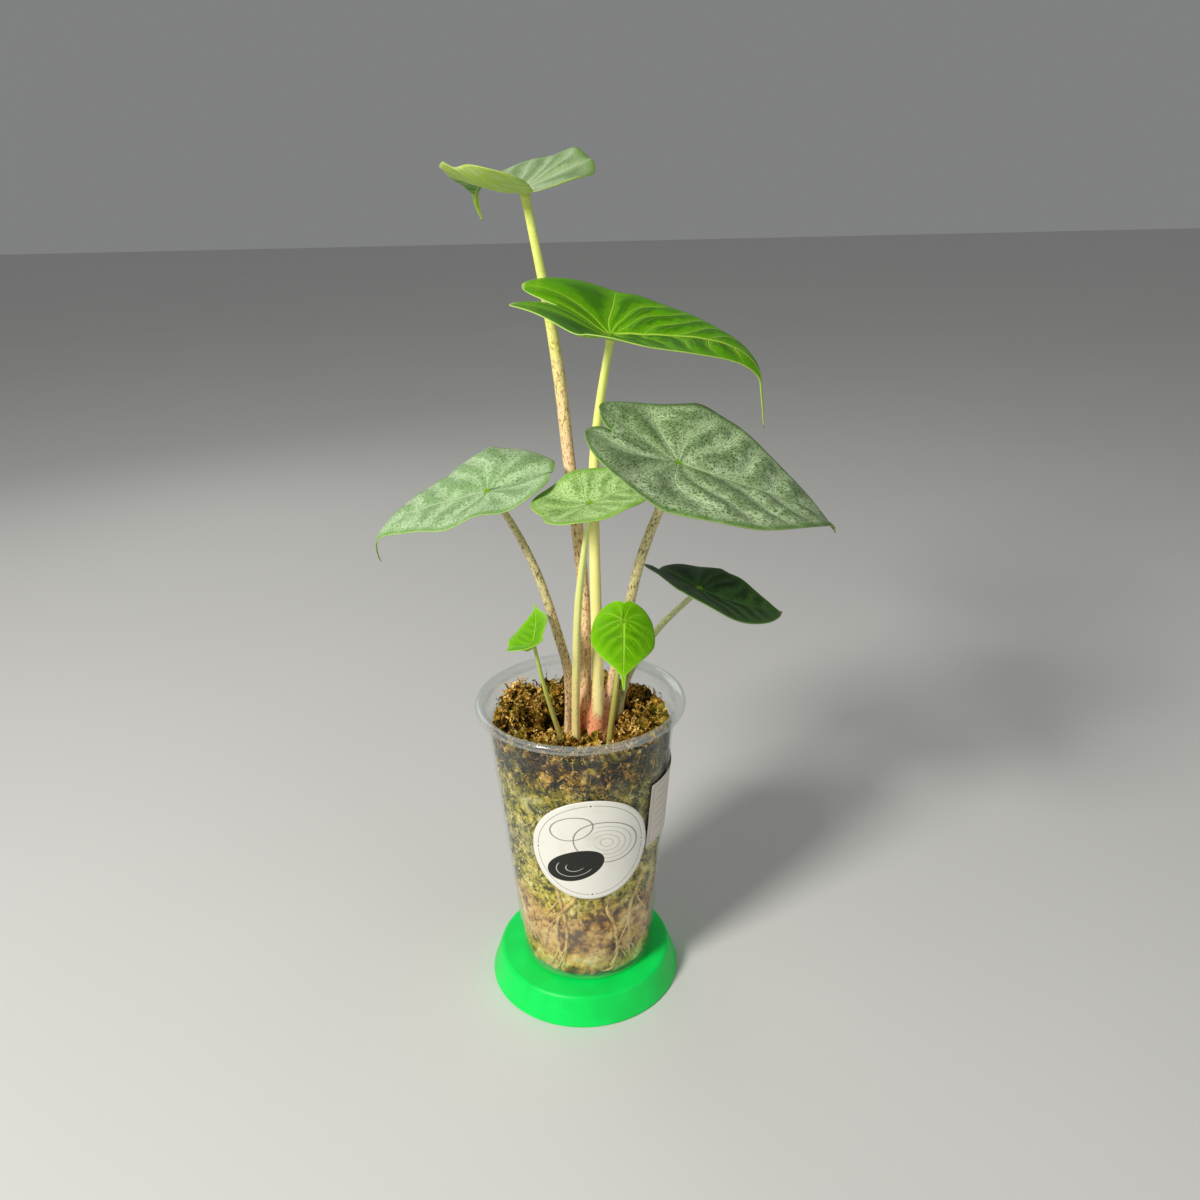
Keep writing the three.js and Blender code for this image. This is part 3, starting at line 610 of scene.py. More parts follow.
def mossStrands(name, starts, directions, outward, lengths, radius, leafLength, hollow, hold):
    # curled shoots with small leaflets, all in one mesh
    count, nodes, sides = len(starts), 8, 3
    path = np.zeros((count, nodes, 3))
    heading = unit(directions)
    here = starts.copy()
    bend = chance.normal(0, 0.34, (count, 3))
    for k in range(nodes):
        path[:, k] = here
        bend += chance.normal(0, 0.16, (count, 3))
        heading = unit(heading + bend)
        here = hold(here + heading * (lengths / (nodes - 1))[:, None])
    along = unit(np.gradient(path, axis=1))
    aside = unit(np.cross(along, outward[:, None]))
    across = np.cross(along, aside)
    taper = (radius * chance.uniform(0.7, 1.3, count))[:, None] * np.linspace(1.0, 0.35, nodes)[None]
    turn = turns(sides)[:, None]
    rings = path[:, :, None] + taper[:, :, None, None] * (
        aside[:, :, None] * np.cos(turn) + across[:, :, None] * np.sin(turn))
    base = gridFaces(nodes, sides, True)[:, ::-1]
    first = (np.arange(count) * nodes * sides)[:, None, None]
    quads = (base[None] + first).reshape(-1, 4)
    tips = np.array([[0, 1, 2], [(nodes - 1) * sides + 2, (nodes - 1) * sides + 1, (nodes - 1) * sides]])
    caps = (tips[None] + first).reshape(-1, 3)
    points = [rings.reshape(-1, 3)]
    reach = [np.repeat(np.broadcast_to(np.linspace(0, 1, nodes), (count, nodes)).ravel(), sides)]
    tone = chance.uniform(0, 1, count)
    tones = [np.repeat(tone, nodes * sides)]
    hollowShades = [np.repeat(hollow, nodes * sides)]
    leaves = []
    total = count * nodes * sides
    for k in range(1, nodes):
        for _ in range(2):
            root = path[:, k]
            lean = aside[:, k] * chance.normal(0, 1, (count, 1))
            lean = unit(lean + across[:, k] * chance.normal(0, 1, (count, 1)))
            point = unit(lean * 0.8 + along[:, k] * chance.uniform(0.1, 0.9, (count, 1)))
            size = leafLength * chance.uniform(0.5, 1.3, (count, 1))
            wide = unit(np.cross(point, along[:, k]))
            middle = root + point * size * 0.45
            tip = root + point * size
            four = np.stack([root, middle + wide * size * 0.28, tip, middle - wide * size * 0.28], 1)
            points.append(hold(four.reshape(-1, 3)))
            leaves.append(total + np.arange(count * 4).reshape(-1, 4))
            total += count * 4
            reach.append(np.full(count * 4, k / (nodes - 1)))
            tones.append(np.repeat(tone, 4))
            hollowShades.append(np.repeat(hollow, 4))
    # painted shade: each shoot is darkened in the hollows, less towards its tip
    return makePiece(name, np.concatenate(points) + np.array([cup["x"], cup["y"], 0]),
                     [quads, np.concatenate(leaves), caps],
                     {"reach": np.concatenate(reach), "tone": np.concatenate(tones),
                      "hollow": np.concatenate(hollowShades) * (1 - 0.5 * np.concatenate(reach))},
                     slot="moss", finish=mossFinish(name + " finish", True))


def sideStrands():
    count = moss["sideStrands"]
    turn = chance.uniform(0, 2 * math.pi, count)
    z = 19 + (moss["wallHeight"] - 20) * chance.uniform(0, 1, count) ** 0.52
    outward = roundSpots(1, turn, 0)
    starts = roundSpots(wallInside(z) - 0.9, turn, z)
    sideways = np.stack([-np.sin(turn), np.cos(turn), 0 * turn], -1)
    directions = sideways * chance.normal(0, 1, (count, 1))
    directions = directions + np.array([0, 0, 1]) * chance.normal(0, 1, (count, 1))

    def hold(points):  # kept just inside the wall
        away = np.hypot(points[:, 0], points[:, 1])
        most = wallInside(points[:, 2]) - 0.25
        least = most - 1.6
        share = np.clip(away, least, most) / np.maximum(away, 1e-6)
        held = points * np.array([1, 1, 0]) * share[:, None]
        held[:, 2] = np.clip(points[:, 2], 17.5, 145)
        return held

    lengths = chance.uniform(4, 10, count)
    mossStrands("mossSideShoots", starts, directions, outward, lengths, 0.24, 1.25, hollowShadeAt(starts), hold)


def topStrands():
    count = moss["topStrands"]
    turn = chance.uniform(0, 2 * math.pi, count)
    away = moss["topReach"] * np.sqrt(chance.uniform(0, 1, count))
    x, y = away * np.cos(turn), away * np.sin(turn)
    tufts = moss["tufts"]
    pick = chance.integers(0, len(tufts), count)
    inTuft = chance.uniform(0, 1, count) < 0.4
    for number, (tuftX, tuftY, _, width) in enumerate(tufts):
        mine = inTuft & (pick == number)
        x[mine] = tuftX + width * 0.45 * chance.normal(0, 1, mine.sum())
        y[mine] = tuftY + width * 0.45 * chance.normal(0, 1, mine.sum())
    far = np.hypot(x, y)
    held = np.minimum(1, moss["topReach"] / far)
    x, y = x * held, y * held
    starts = np.stack([x, y, mossSurface(x, y) - 0.8], -1)
    directions = chance.normal(0, 1, (count, 3)) * np.array([1, 1, 0.6]) + np.array([0, 0, 0.55])

    def hold(points):
        far = np.hypot(points[:, 0], points[:, 1])
        share = np.minimum(1, moss["topHold"] / np.maximum(far, 1e-6))
        return points * np.stack([share, share, np.ones(len(share))], -1)

    outward = np.tile([0.0, 0.0, 1.0], (count, 1))
    fromPlant = np.hypot(x - moss["plant"][0], y - moss["plant"][1])
    lengths = chance.uniform(3.5, 9, count) * np.clip(fromPlant / 22, 0.4, 1)  # short round the plant
    hollow = hollowShadeAt(starts * np.array([1, 1, 0]))
    mossStrands("mossTopShoots", starts, directions, outward, lengths, 0.3, 1.5, hollow, hold)


mossBed()
sideStrands()
topStrands()
print("moss made")


# Roots seen through the cup

root = {
    "radius": 0.9,
    "depth": 1.9,
    "lowest": 21.0,
    "knotRadius": 4.0,
    "runs": [(-118, 84, 11), (-100, 66, -16), (-72, 58, 9), (-40, 74, -12), (25, 70, 14), (95, 80, -13),
             (165, 64, 12)],
    "branches": 3,
    "cream": "#f0cf80",
    "tan": "#c08f42",
    "fleck": "#6b4a22",
    "sides": 10,
}
crown = {
    "x": 8.4,
    "y": 0.6,
    "bottom": 112.0,
    "top": 146.0,
    "footRadius": 5.6,
    "topRadiusX": 8.9,
    "topRadiusY": 6.4,
    "salmon": "#fbab7e",
    "pale": "#ffd6a8",
    "cream": "#fff0a6",
    "speck": "#8d3f2a",
    "soil": "#5a3a1c",
    "voxel": 0.5,
}


def rootFinish():
    paint = Finish("root skin")
    place = paint.place3d()
    cloud = paint.noise(place, 260.0, 4.0, 0.6)
    colour = paint.mix(root["cream"], root["tan"], paint.step(cloud, 0.42, 0.66))
    colour = paint.mix(colour, root["fleck"], paint.step(paint.noise(place, 900.0, 2.0), 0.66, 0.74) * 0.7)
    return paint.done(paint.surface({"Base Color": colour, "Roughness": 0.5 + cloud * 0.25,
                                     "Normal": paint.bump(paint.noise(place, 1500.0), 0.12)}))


def rootPiece():
    points, quads, triangles = [], [], []
    total = 0

    def addTube(line, radii, sides):
        nonlocal total
        shares = np.linspace(0, 1, 46 if len(line) > 4 else 22)
        places, directions = smoothCurve(line, shares)
        thick = np.interp(shares, np.linspace(0, 1, len(radii)), radii)
        rings = ringsAround(places, directions, thick, sides)[0]
        points.extend([rings.reshape(-1, 3), places[:1], places[-1:]])
        tubeQuads, tubeEnds = tubeFaces(len(places), sides, total)
        quads.append(tubeQuads)
        triangles.append(tubeEnds)
        total += rings.shape[0] * sides + 2
        return places

    knot = np.array([crown["x"], crown["y"], crown["bottom"] - 0.3 - root["knotRadius"]])
    axis = knot + np.array([(0, 0, -3.6), (0.2, 0, -1.5), (0, 0.2, 1.5), (0, 0, 3.9)])
    addTube(axis, [1.2, 3.9, 3.9, 1.4], 18)

    def wallSpot(turn, drift, reach, z, inward):
        radius = cupRadius(z) - cup["wall"] - inward
        angle = math.radians(turn + drift * math.sin(2.6 * (reach - z) / (reach - root["lowest"])))
        return np.array([cup["x"] + radius * math.cos(angle), cup["y"] + radius * math.sin(angle), z])

    for turn, reach, drift in root["runs"]:
        entry = wallSpot(turn, drift, reach, reach, root["depth"])
        bend = lerp(knot, entry, 0.7)
        bend[2] = lerp(knot[2], reach, 0.35)
        heights = np.linspace(reach, root["lowest"], 7)
        wiggle = chance.normal(0, 1.0, len(heights))
        line = [knot, bend] + [wallSpot(turn + w * 0.8, drift, reach, z, root["depth"] - 0.75)
                               for z, w in zip(heights, wiggle)]
        main = addTube(line, [1.15, 1.0, 0.95, 1.0, 0.85, 0.9, 0.75, 0.8, 0.6], root["sides"])
        for _ in range(root["branches"]):
            spot = main[chance.integers(16, 42)]
            side = chance.choice([-1, 1])
            z = spot[2]
            angle = math.degrees(math.atan2(spot[1] - cup["y"], spot[0] - cup["x"]))
            branch = [spot]
            for _ in range(3):
                z = max(z - chance.uniform(3, 8), root["lowest"] - 2)
                angle += side * chance.uniform(2, 7)
                radius = cupRadius(z) - cup["wall"] - 0.75
                branch.append(np.array([cup["x"] + radius * math.cos(math.radians(angle)),
                                        cup["y"] + radius * math.sin(math.radians(angle)), z]))
            addTube(branch, [0.55, 0.5, 0.4, 0.25], 7)
    return makePiece("rootRuns", np.concatenate(points), [np.concatenate(quads), np.concatenate(triangles)],
                     slot="roots", stands=["roots"], finish=rootFinish())


rootPiece()
print("roots made")


# Leaves

leaves = [
    {
        "name": "top",
        "at": (-16.1, 33, 372.3), "heading": 110.5, "pitch": 6, "roll": -3,
        "length": 59, "drip": 16, "dripWidth": 3.2, "lobe": 31, "sinus": 6, "splay": 0.42,
        "droop": 48, "droopPower": 5, "dripDroop": 14, "sweep": 16, "dripSweep": -70, "lobeDroop": -36,
        "left": {"width": 35, "folds": (2, -5, -4), "curl": 50, "lobeSag": 0},
        "right": {"width": 30, "folds": (12, 30, 20), "curl": -6, "lobeSag": 3},
        "waves": (0.9, 2.2),
        "stalk": [(3.4, 1, 146.3), (4.5, 8, 189), (2, 16, 231), (-1.1, 21, 265), (-4, 26, 297),
                  (-8.8, 30, 330)],
        "stalkRadii": (2.7, 2.7, 2.75, 2.75, 2.75, 2.1, 1.75),
        "blade": "top", "bark": "tan",
    },
    {
        "name": "bright",
        "at": (18.2, -6, 318.3), "heading": -15.8, "pitch": -0.3, "roll": -1.3,
        "length": 67.8, "drip": 17.9, "dripWidth": 2, "lobe": 19.2, "sinus": 14.4, "splay": 0.42,
        "droop": 82.5, "droopPower": 4.3, "dripDroop": 3.3, "sweep": -4.8, "dripSweep": -4.3, "lobeDroop": 46,
        "left": {"width": 34.7, "folds": (26.3, 27.7, -5), "curl": -11.2, "lobeSag": -27.5},
        "right": {"width": 35.2, "folds": (-10, -2, -20.3), "curl": 19.2, "lobeSag": -28.1},
        "waves": (0.25, 2.6),
        "stalk": [(9.6, -1.8, 146.3), (9.8, -2, 176.5), (9.8, 0, 236), (10.6, 2, 265.6), (13.2, 2, 288)],
        "stalkRadii": (2.7, 2.7, 2.35, 2.25, 1.95, 1.5),
        "blade": "bright", "bark": "cream",
    },
    {
        "name": "large",
        "at": (43, -40, 274.1), "heading": -6.5, "pitch": -20.6, "roll": 3.9,
        "length": 77.4, "drip": 2.6, "dripWidth": 3, "lobe": 37.6, "sinus": 28.2, "splay": 0.24,
        "droop": 33.3, "droopPower": 3.1, "dripDroop": 11.2, "sweep": 33.8, "dripSweep": 11,
        "lobeDroop": -14.6,
        "left": {"width": 42, "folds": (-3.8, 16.2, 14.6), "curl": 4.2, "lobeSag": -4.1},
        "right": {"width": 42.2, "folds": (0.5, -7.1, 6.4), "curl": 3.5, "lobeSag": 1.2},
        "waves": (0.45, 2.4),
        "stalk": [(13, 3.2, 146.3), (20.2, -4, 179.6), (24.8, -12, 206), (30, -22.5, 232)],
        "stalkRadii": (2.35, 2.3, 2.2, 2.1, 1.6),
        "blade": "silver", "bark": "mottled", "marks": [(79.2, 1.2, 2.4)],
    },
    {
        "name": "middle",
        "at": (8.5, -31, 255.8), "heading": 21, "pitch": 15, "roll": 5,
        "length": 37, "drip": 4, "dripWidth": 0.9, "lobe": 22, "sinus": 19, "splay": 0.36,
        "droop": 14, "droopPower": 2, "dripDroop": 10, "sweep": 0, "dripSweep": 0, "lobeDroop": -5,
        "left": {"width": 22, "folds": (-1, 14, 14), "curl": 2, "lobeSag": -3},
        "right": {"width": 21.5, "folds": (10, 7, -2), "curl": 2, "lobeSag": -2},
        "waves": (0.5, 1.8),
        "stalk": [(-1.2, -4.8, 124), (-0.6, -6, 154), (0.2, -9, 173), (2.3, -17, 207), (4.9, -23, 229)],
        "stalkRadii": (1.95, 1.9, 1.8, 1.7, 1.4, 0.9),
        "blade": "fresh", "bark": "ridged",
    },
    {
        "name": "left",
        "at": (-35.1, -4, 253.9), "heading": 176, "pitch": -14, "roll": -16,
        "length": 60, "drip": 9, "dripWidth": 2.6, "lobe": 29, "sinus": 23, "splay": 0.33,
        "droop": 67, "droopPower": 4.3, "dripDroop": 32, "sweep": 1, "dripSweep": 0, "lobeDroop": 3,
        "left": {"width": 26, "folds": (3, 8, -6), "curl": 3, "lobeSag": -5},
        "right": {"width": 38, "folds": (6, 28, -14), "curl": -50, "lobeSag": 1.5},
        "waves": (0.9, 2.2),
        "stalk": [(-4.6, 0.6, 124), (-3.9, 0, 166), (-7.8, -1, 186), (-16, -3, 217), (-27, -4, 242)],
        "stalkRadii": (2.2, 2.2, 2.2, 1.85, 1.5, 1.3),
        "blade": "frosted", "bark": "mottled",
    },
    {
        "name": "right",
        "at": (56.7, 10, 201.8), "heading": -27.2, "pitch": -16.8, "roll": 0.4,
        "length": 42.5, "drip": 1.6, "dripWidth": 3.4, "lobe": 23, "sinus": 17.9, "splay": 0.41,
        "droop": 13, "droopPower": 2.1, "dripDroop": 5.2, "sweep": 53.9, "dripSweep": 21.4, "lobeDroop": 11.7,
        "left": {"width": 19.8, "folds": (5.2, 18.6, 28.8), "curl": -19, "lobeSag": 0.9},
        "right": {"width": 27, "folds": (23.8, 19.9, -5.4), "curl": 0.4, "lobeSag": -3.2},
        "waves": (0.6, 2),
        "stalk": [(18.4, 7.5, 122), (19.4, 7.5, 140), (23.4, 7.5, 158), (37, 9, 181.5)],
        "stalkRadii": (1.9, 1.9, 1.75, 1.6, 1.1),
        # its blade look is darkened as painted shade
        "blade": "dark", "bark": "mottledPale", "marks": [(43.6, 0.4, 3.4)],
    },
    {
        "name": "young",
        "at": (21.5, -26, 202.4), "heading": -92, "pitch": -33, "roll": -1,
        "length": 28, "drip": 8, "dripWidth": 2.2, "lobe": 10, "sinus": 8, "splay": 0.27,
        "droop": -9, "droopPower": 2, "dripDroop": -1, "sweep": -1, "dripSweep": 4, "lobeDroop": 9,
        "left": {"width": 14.5, "folds": (-17, -13, -2), "curl": -30, "lobeSag": -1.5},
        "right": {"width": 14.7, "folds": (-16, -9, -3), "curl": -26, "lobeSag": -2},
        "waves": (0.4, 1.5),
        "stalk": [(14.4, -8, 122), (15, -9, 138), (16.8, -12, 155), (19.6, -17, 180)],
        "stalkRadii": (1.5, 1.45, 1.25, 1, 0.8),
        "blade": "young", "bark": "glassy",
    },
    {
        "name": "small",
        "at": (-18.1, -16, 188.2), "heading": 76, "pitch": 34, "roll": -26,
        "length": 20, "drip": 3, "dripWidth": 1.5, "lobe": 6, "sinus": 5, "splay": 0.41,
        "droop": -4, "droopPower": 2, "dripDroop": 1, "sweep": 22, "dripSweep": 4, "lobeDroop": 6,
        "left": {"width": 12, "folds": (9, 10, 5), "curl": 5, "lobeSag": -6},
        "right": {"width": 10, "folds": (8, 27, -1), "curl": 5, "lobeSag": -5.5},
        "waves": (0.5, 1.4),
        "stalk": [(-6.6, -7, 122), (-8.2, -8.3, 137), (-11.4, -11, 152), (-14.6, -14, 168)],
        "stalkRadii": (1.3, 1.25, 1.1, 0.95, 0.7),
        "blade": "young", "bark": "glassy",
    },
]

# Finishes of the blades: main and deep are the ground, pale lies along the veins, net is the fine mesh
bladeMarks = {"collar": "#7fb31c", "dry": "#b39a58", "burnt": "#3a2410"}
bladeVeins = (0.25, 34.0)  # step along the midrib as a share of its length, and degrees between lobe veins
bladeLooks = {
    "silver": {
        "slot": "blade_silver", "main": "#5a8038", "deep": "#22450e", "pale": "#a6c286", "net": "#d6e9bc",
        "vein": "#b4cf95", "rim": "#a3b96c", "band": "#4d7f1e", "under": "#7d9c62",
        "netShare": 1.0, "paleShare": 0.45, "darkShare": 0.42, "cell": 0.8, "line": 0.4, "minor": 0.12,
        "rimShare": 0.5, "rough": 0.44, "shine": 0.28, "drip": "#44700e", "tip": (0.86, 0.97), "rib": 1.2,
    },
    "fresh": {
        "slot": "blade_silver", "main": "#7ca848", "deep": "#3d6a18", "pale": "#b6da84", "net": "#d4eeaa",
        "vein": "#b6d586", "rim": "#b4d264", "band": "#76b322", "under": "#9dbb77",
        "netShare": 0.9, "paleShare": 0.38, "darkShare": 0.4, "cell": 0.7, "line": 0.45, "minor": 0.15,
        "rimShare": 0.5, "rough": 0.42, "shine": 0.28, "drip": "#7db832", "rib": 1.0,
    },
    "frosted": {
        "slot": "blade_silver", "main": "#76a25a", "deep": "#376428", "pale": "#b2cf9a", "net": "#d6ecc4",
        "vein": "#bcd6a4", "rim": "#b9cf84", "band": "#6a9c34", "under": "#9dba80",
        "netShare": 0.85, "paleShare": 0.2, "darkShare": 0.26, "cell": 0.62, "line": 0.5, "minor": 0.15,
        "rimShare": 0.55, "rough": 0.44, "shine": 0.3, "drip": "#86b448", "rib": 1.3,
    },
    "bright": {
        "slot": "blade_bright", "main": "#529600", "deep": "#316400", "pale": "#86ca00", "net": "#65ad00",
        "vein": "#b6d84e", "rim": "#bfd878", "band": "#62a404", "under": "#84b52a",
        "netShare": 0.14, "paleShare": 0.36, "darkShare": 0.7, "cell": 0.12, "line": 0.65, "minor": 0.4,
        "rimShare": 0.8, "rough": 0.3, "shine": 0.15, "veins": (0.19, 27.0), "drip": "#9cc63a", "rib": 1.9,
    },
    "top": {
        # the top leaf: the dark green under its drooping tip is painted shade
        "slot": "blade_top", "main": "#7f9e62", "deep": "#54763c", "pale": "#a9bf94", "net": "#a9bf92",
        "vein": "#ced9b6", "rim": "#b6bd6c", "band": "#5a8a22", "under": "#aecc52", "tipUnderShade": "#4c8a0c",
        "netShare": 0.6, "paleShare": 0.7, "darkShare": 0.55, "cell": 0.3, "line": 0.6, "minor": 0.35,
        "rimShare": 0.45, "rough": 0.46, "shine": 0.3, "drip": "#a4cc34", "rib": 1.5,
    },
    # the right leaf: all its colours are darkened as painted shade, for the shade it hangs in
    "dark": {
        "slot": "blade_dark", "main": "#1b330b", "deep": "#0f2006", "pale": "#3f672b", "net": "#426433",
        "vein": "#46683a", "rim": "#7d9a58", "band": "#42681f", "under": "#6d8a4c",
        "netShare": 0.6, "paleShare": 0.7, "darkShare": 0.7, "cell": 0.3, "line": 0.3, "minor": 0.15,
        "rimShare": 0.8, "rough": 0.4, "shine": 0.22, "drip": "#2b4416", "rib": 0.8,
    },
    "young": {
        "slot": "blade_bright", "main": "#60a800", "deep": "#387600", "pale": "#8acc00", "net": "#8ac812",
        "vein": "#a8d843", "rim": "#b4da58", "band": "#7cc20a", "under": "#9ccb2c",
        "netShare": 0.14, "paleShare": 0.35, "darkShare": 0.7, "cell": 0.12, "line": 0.28, "minor": 0.15,
        "rimShare": 0.5, "rough": 0.22, "shine": 0.3, "drip": "#94cc24", "rib": 1.0,
    },
}

# Finishes of the stalks: the colour at the foot and the head, and the specks on it
barkStreak = "#f6e6b0"
barkLooks = {
    "tan": {
        "slot": "stalk_tan", "foot": "#ffdcac", "head": "#e6f07e", "change": (0.5, 0.9),
        "speck": "#9a5230", "specks": 1.0, "fade": (0.62, 0.9), "size": 0.85, "streak": 0.3, "gloss": 0.36,
    },
    "cream": {
        "slot": "stalk_cream", "foot": "#fff0a4", "head": "#f0f68a", "change": (0.15, 0.8),
        "speck": "#b59a58", "specks": 0.15, "fade": (0.1, 0.7), "size": 0.6, "streak": 0.6, "gloss": 0.34,
    },
    "mottled": {
        "slot": "stalk_mottled", "foot": "#f8d3a2", "head": "#dccf98", "change": (0.1, 0.6),
        "speck": "#4d3418", "specks": 1.0, "fade": (1.2, 1.5), "size": 0.85, "streak": 0.2, "gloss": 0.38,
    },
    "mottledPale": {
        "slot": "stalk_mottled", "foot": "#d6c78c", "head": "#c6cb92", "change": (0.1, 0.6),
        "speck": "#4c4224", "specks": 0.65, "fade": (1.2, 1.5), "size": 0.8, "streak": 0.2, "gloss": 0.38,
    },
    "ridged": {
        "slot": "stalk_olive", "foot": "#fbe49a", "head": "#e6ec94", "change": (0.1, 0.8),
        "speck": "#7a5a2c", "specks": 0.4, "fade": (0.2, 0.7), "size": 0.6, "streak": 0.8, "gloss": 0.36,
    },
    "glassy": {
        "slot": "stalk_olive", "foot": "#b9ac5c", "head": "#b4c758", "change": (0.3, 0.95),
        "speck": "#6c6428", "specks": 0.2, "fade": (0.2, 0.8), "size": 0.6, "streak": 0.5, "gloss": 0.3,
    },
}
bladeThickness = 0.7


def ribCurve(leaf):  # the midrib, from behind the lobes to the drip tip
    step = 0.5
    length, drip, lobe = leaf["length"], leaf["drip"], leaf["lobe"]

    def forward(u):
        along = np.clip(u / length, 0, 1)
        beyond = np.clip((u - length) / drip, 0, 1)
        turning = np.clip((u - 0.85 * length) / (drip + 0.15 * length), 0, 1)
        down = np.radians(leaf["droop"] * along ** leaf["droopPower"] + leaf["dripDroop"] * beyond)
        aside = np.radians(leaf["sweep"] * along + leaf["dripSweep"] * turning)
        return np.stack([np.cos(down) * np.cos(aside), np.cos(down) * np.sin(aside), -np.sin(down)], -1)

    def backward(u):
        down = np.radians(leaf["lobeDroop"] * np.clip(-u / lobe, 0, 1) ** 1.5)
        return np.stack([np.cos(down), 0 * down, np.sin(down)], -1)

    ahead = np.arange(0, length + drip + step, step)
    behind = np.arange(-step, -lobe - step - 0.01, -step)
    front = np.concatenate([np.zeros((1, 3)), np.cumsum(forward(ahead[:-1] + step / 2) * step, 0)])
    back = np.cumsum(-backward(behind + step / 2) * step, 0)
    u = np.concatenate([behind[::-1], ahead])
    return u, np.concatenate([back[::-1], front]), np.concatenate([backward(behind)[::-1], forward(ahead)])


def leafTurn(leaf):
    turn = Matrix.Rotation(math.radians(leaf["heading"]), 3, "Z")
    turn = turn @ Matrix.Rotation(math.radians(-leaf["pitch"]), 3, "Y")
    return np.array(turn @ Matrix.Rotation(math.radians(leaf["roll"]), 3, "X"))


def outerEdge(leaf, half, u):
    lobeEnd = leaf["splay"] * half["width"]
    back = np.clip(-u / leaf["lobe"], 0, 1)
    behind = lobeEnd + (half["width"] - lobeEnd) * np.sqrt(1 - back ** 2.2)
    along = np.clip(u / leaf["length"], 0, 1)
    body = half["width"] * np.cos(math.pi / 2 * along ** 1.05) ** 1.25
    drip = leaf["dripWidth"] * np.sqrt(np.clip(1 - u / (leaf["length"] + leaf["drip"]), 0, 1))
    return np.where(u < 0, behind, body + drip * np.clip(3 * along, 0, 1))


def innerEdge(leaf, half, u):
    back = np.clip((-u - leaf["sinus"]) / (leaf["lobe"] - leaf["sinus"]), 0, 1)
    return leaf["splay"] * half["width"] * (1 - np.sqrt(1 - back ** 2))


def bladeSpots(leaf, rib, side, u, v, lift):  # the shaped blade's spots for flat ones
    half = leaf["left"] if side > 0 else leaf["right"]
    ribU, ribPlaces, ribDirections = rib
    place = np.stack([np.interp(u, ribU, ribPlaces[:, k]) for k in range(3)], -1)
    direction = unit(np.stack([np.interp(u, ribU, ribDirections[:, k]) for k in range(3)], -1))
    aside = unit(np.stack([-direction[:, 1], direction[:, 0], 0 * u], -1))
    up = np.cross(direction, aside)
    along = np.clip(u / leaf["length"], 0, 1)
    back = np.clip(-u / leaf["lobe"], 0, 1)
    lobeFold, stalkFold, tipFold = half["folds"]
    fold = np.radians(stalkFold + (tipFold - stalkFold) * along + (lobeFold - stalkFold) * back)
    curl = math.radians(half["curl"]) * v / half["width"]
    curl = np.where(np.abs(curl) < 1e-6, 1e-6, curl)
    across = v * (np.sin(fold + curl) - np.sin(fold)) / curl
    waveHeight, waveCount = leaf["waves"]
    wave = waveHeight * (v / half["width"]) ** 2 * np.sin(2 * math.pi * waveCount * u / leaf["length"] + side)
    shared = 0.5 * (leaf["left"]["lobeSag"] + leaf["right"]["lobeSag"])
    sag = lerp(shared, half["lobeSag"], np.clip(v / 6, 0, 1))  # both halves meet at the midrib
    height = v * (np.cos(fold) - np.cos(fold + curl)) / curl - sag * back ** 2 + wave + lift
    place = place + aside * (side * across)[:, None] + up * height[:, None]
    return place @ leafTurn(leaf).T + np.array(leaf["at"])


def veinTrack(leaf, u, v):
    # a number that is whole on each side vein, and the width in millimetres of one step of it
    share, spread = bladeLooks[leaf["blade"]].get("veins", bladeVeins)
    spacing = share * leaf["length"]
    start = math.radians(61)
    bent = u - 0.42 * v ** 2 / (0.5 * leaf["length"])
    ahead = bent - v / math.tan(start)
    angle = np.arctan2(v, bent)
    radial = -(angle - start) / math.radians(spread)
    track = np.where(ahead > 0, ahead / spacing, radial)
    width = np.where(ahead > 0, spacing * math.sin(start), np.hypot(bent, v) * math.radians(spread))
    stray = 0.13 * np.sin(u * 2.9 / spacing + v * 2.1 / spacing + leaf["heading"]) * np.clip(width / 6, 0, 1)
    return track + stray, width


def bladeRows(leaf, fine):
    drip = leaf["length"] + leaf["drip"] * (1 - np.arange(int(12 * fine)) / int(12 * fine))
    count = int(58 * fine)
    body = leaf["length"] * np.cos(math.pi / 2 * np.arange(count) / count) ** 0.9
    count = int(14 * fine)
    middle = -leaf["sinus"] * np.arange(count) / count
    count = int(26 * fine)
    shares = np.sin(math.pi / 2 * np.arange(count + 1) / count)
    lobes = -leaf["sinus"] - (leaf["lobe"] - leaf["sinus"]) * shares
    return np.concatenate([drip, body, middle, lobes])


def bladeHalf(leaf, rib, side, rows, columns):
    # the spots of one half, row after row, and what the finish has to know at each
    half = leaf["left"] if side > 0 else leaf["right"]
    size = min(leaf["left"]["width"], leaf["right"]["width"])
    inner, outer = innerEdge(leaf, half, rows), outerEdge(leaf, half, rows)
    outer[0] = 0
    inner[-1] = outer[-1]
    spread = (np.arange(columns + 1) / columns) ** 1.12
    v = inner[:, None] + (outer - inner)[:, None] * spread
    u = np.repeat(rows[:, None], columns + 1, 1)
    gap = np.minimum((outer[:, None] - v) * 0.8, np.where(u < -leaf["sinus"], v - inner[:, None], 99))
    end = np.hypot(u - (leaf["length"] + leaf["drip"]), v)
    gap = np.minimum(np.minimum(gap, end), (u + leaf["lobe"]) * 1.1).ravel()
    u, v = u.ravel(), v.ravel()
    track, width = veinTrack(leaf, u, v)
    puff = np.sin(math.pi * track) ** 2 * np.clip(width / 12, 0, 1) * np.clip(gap / 9, 0, 1)
    puff = puff * 0.036 * size * np.clip(v / 5, 0, 1)  # the blade swells between its side veins
    points = bladeSpots(leaf, rib, side, u, v, puff)
    return points, np.stack([u, side * v, 0 * u], -1), track + (0 if side > 0 else 40), width, gap


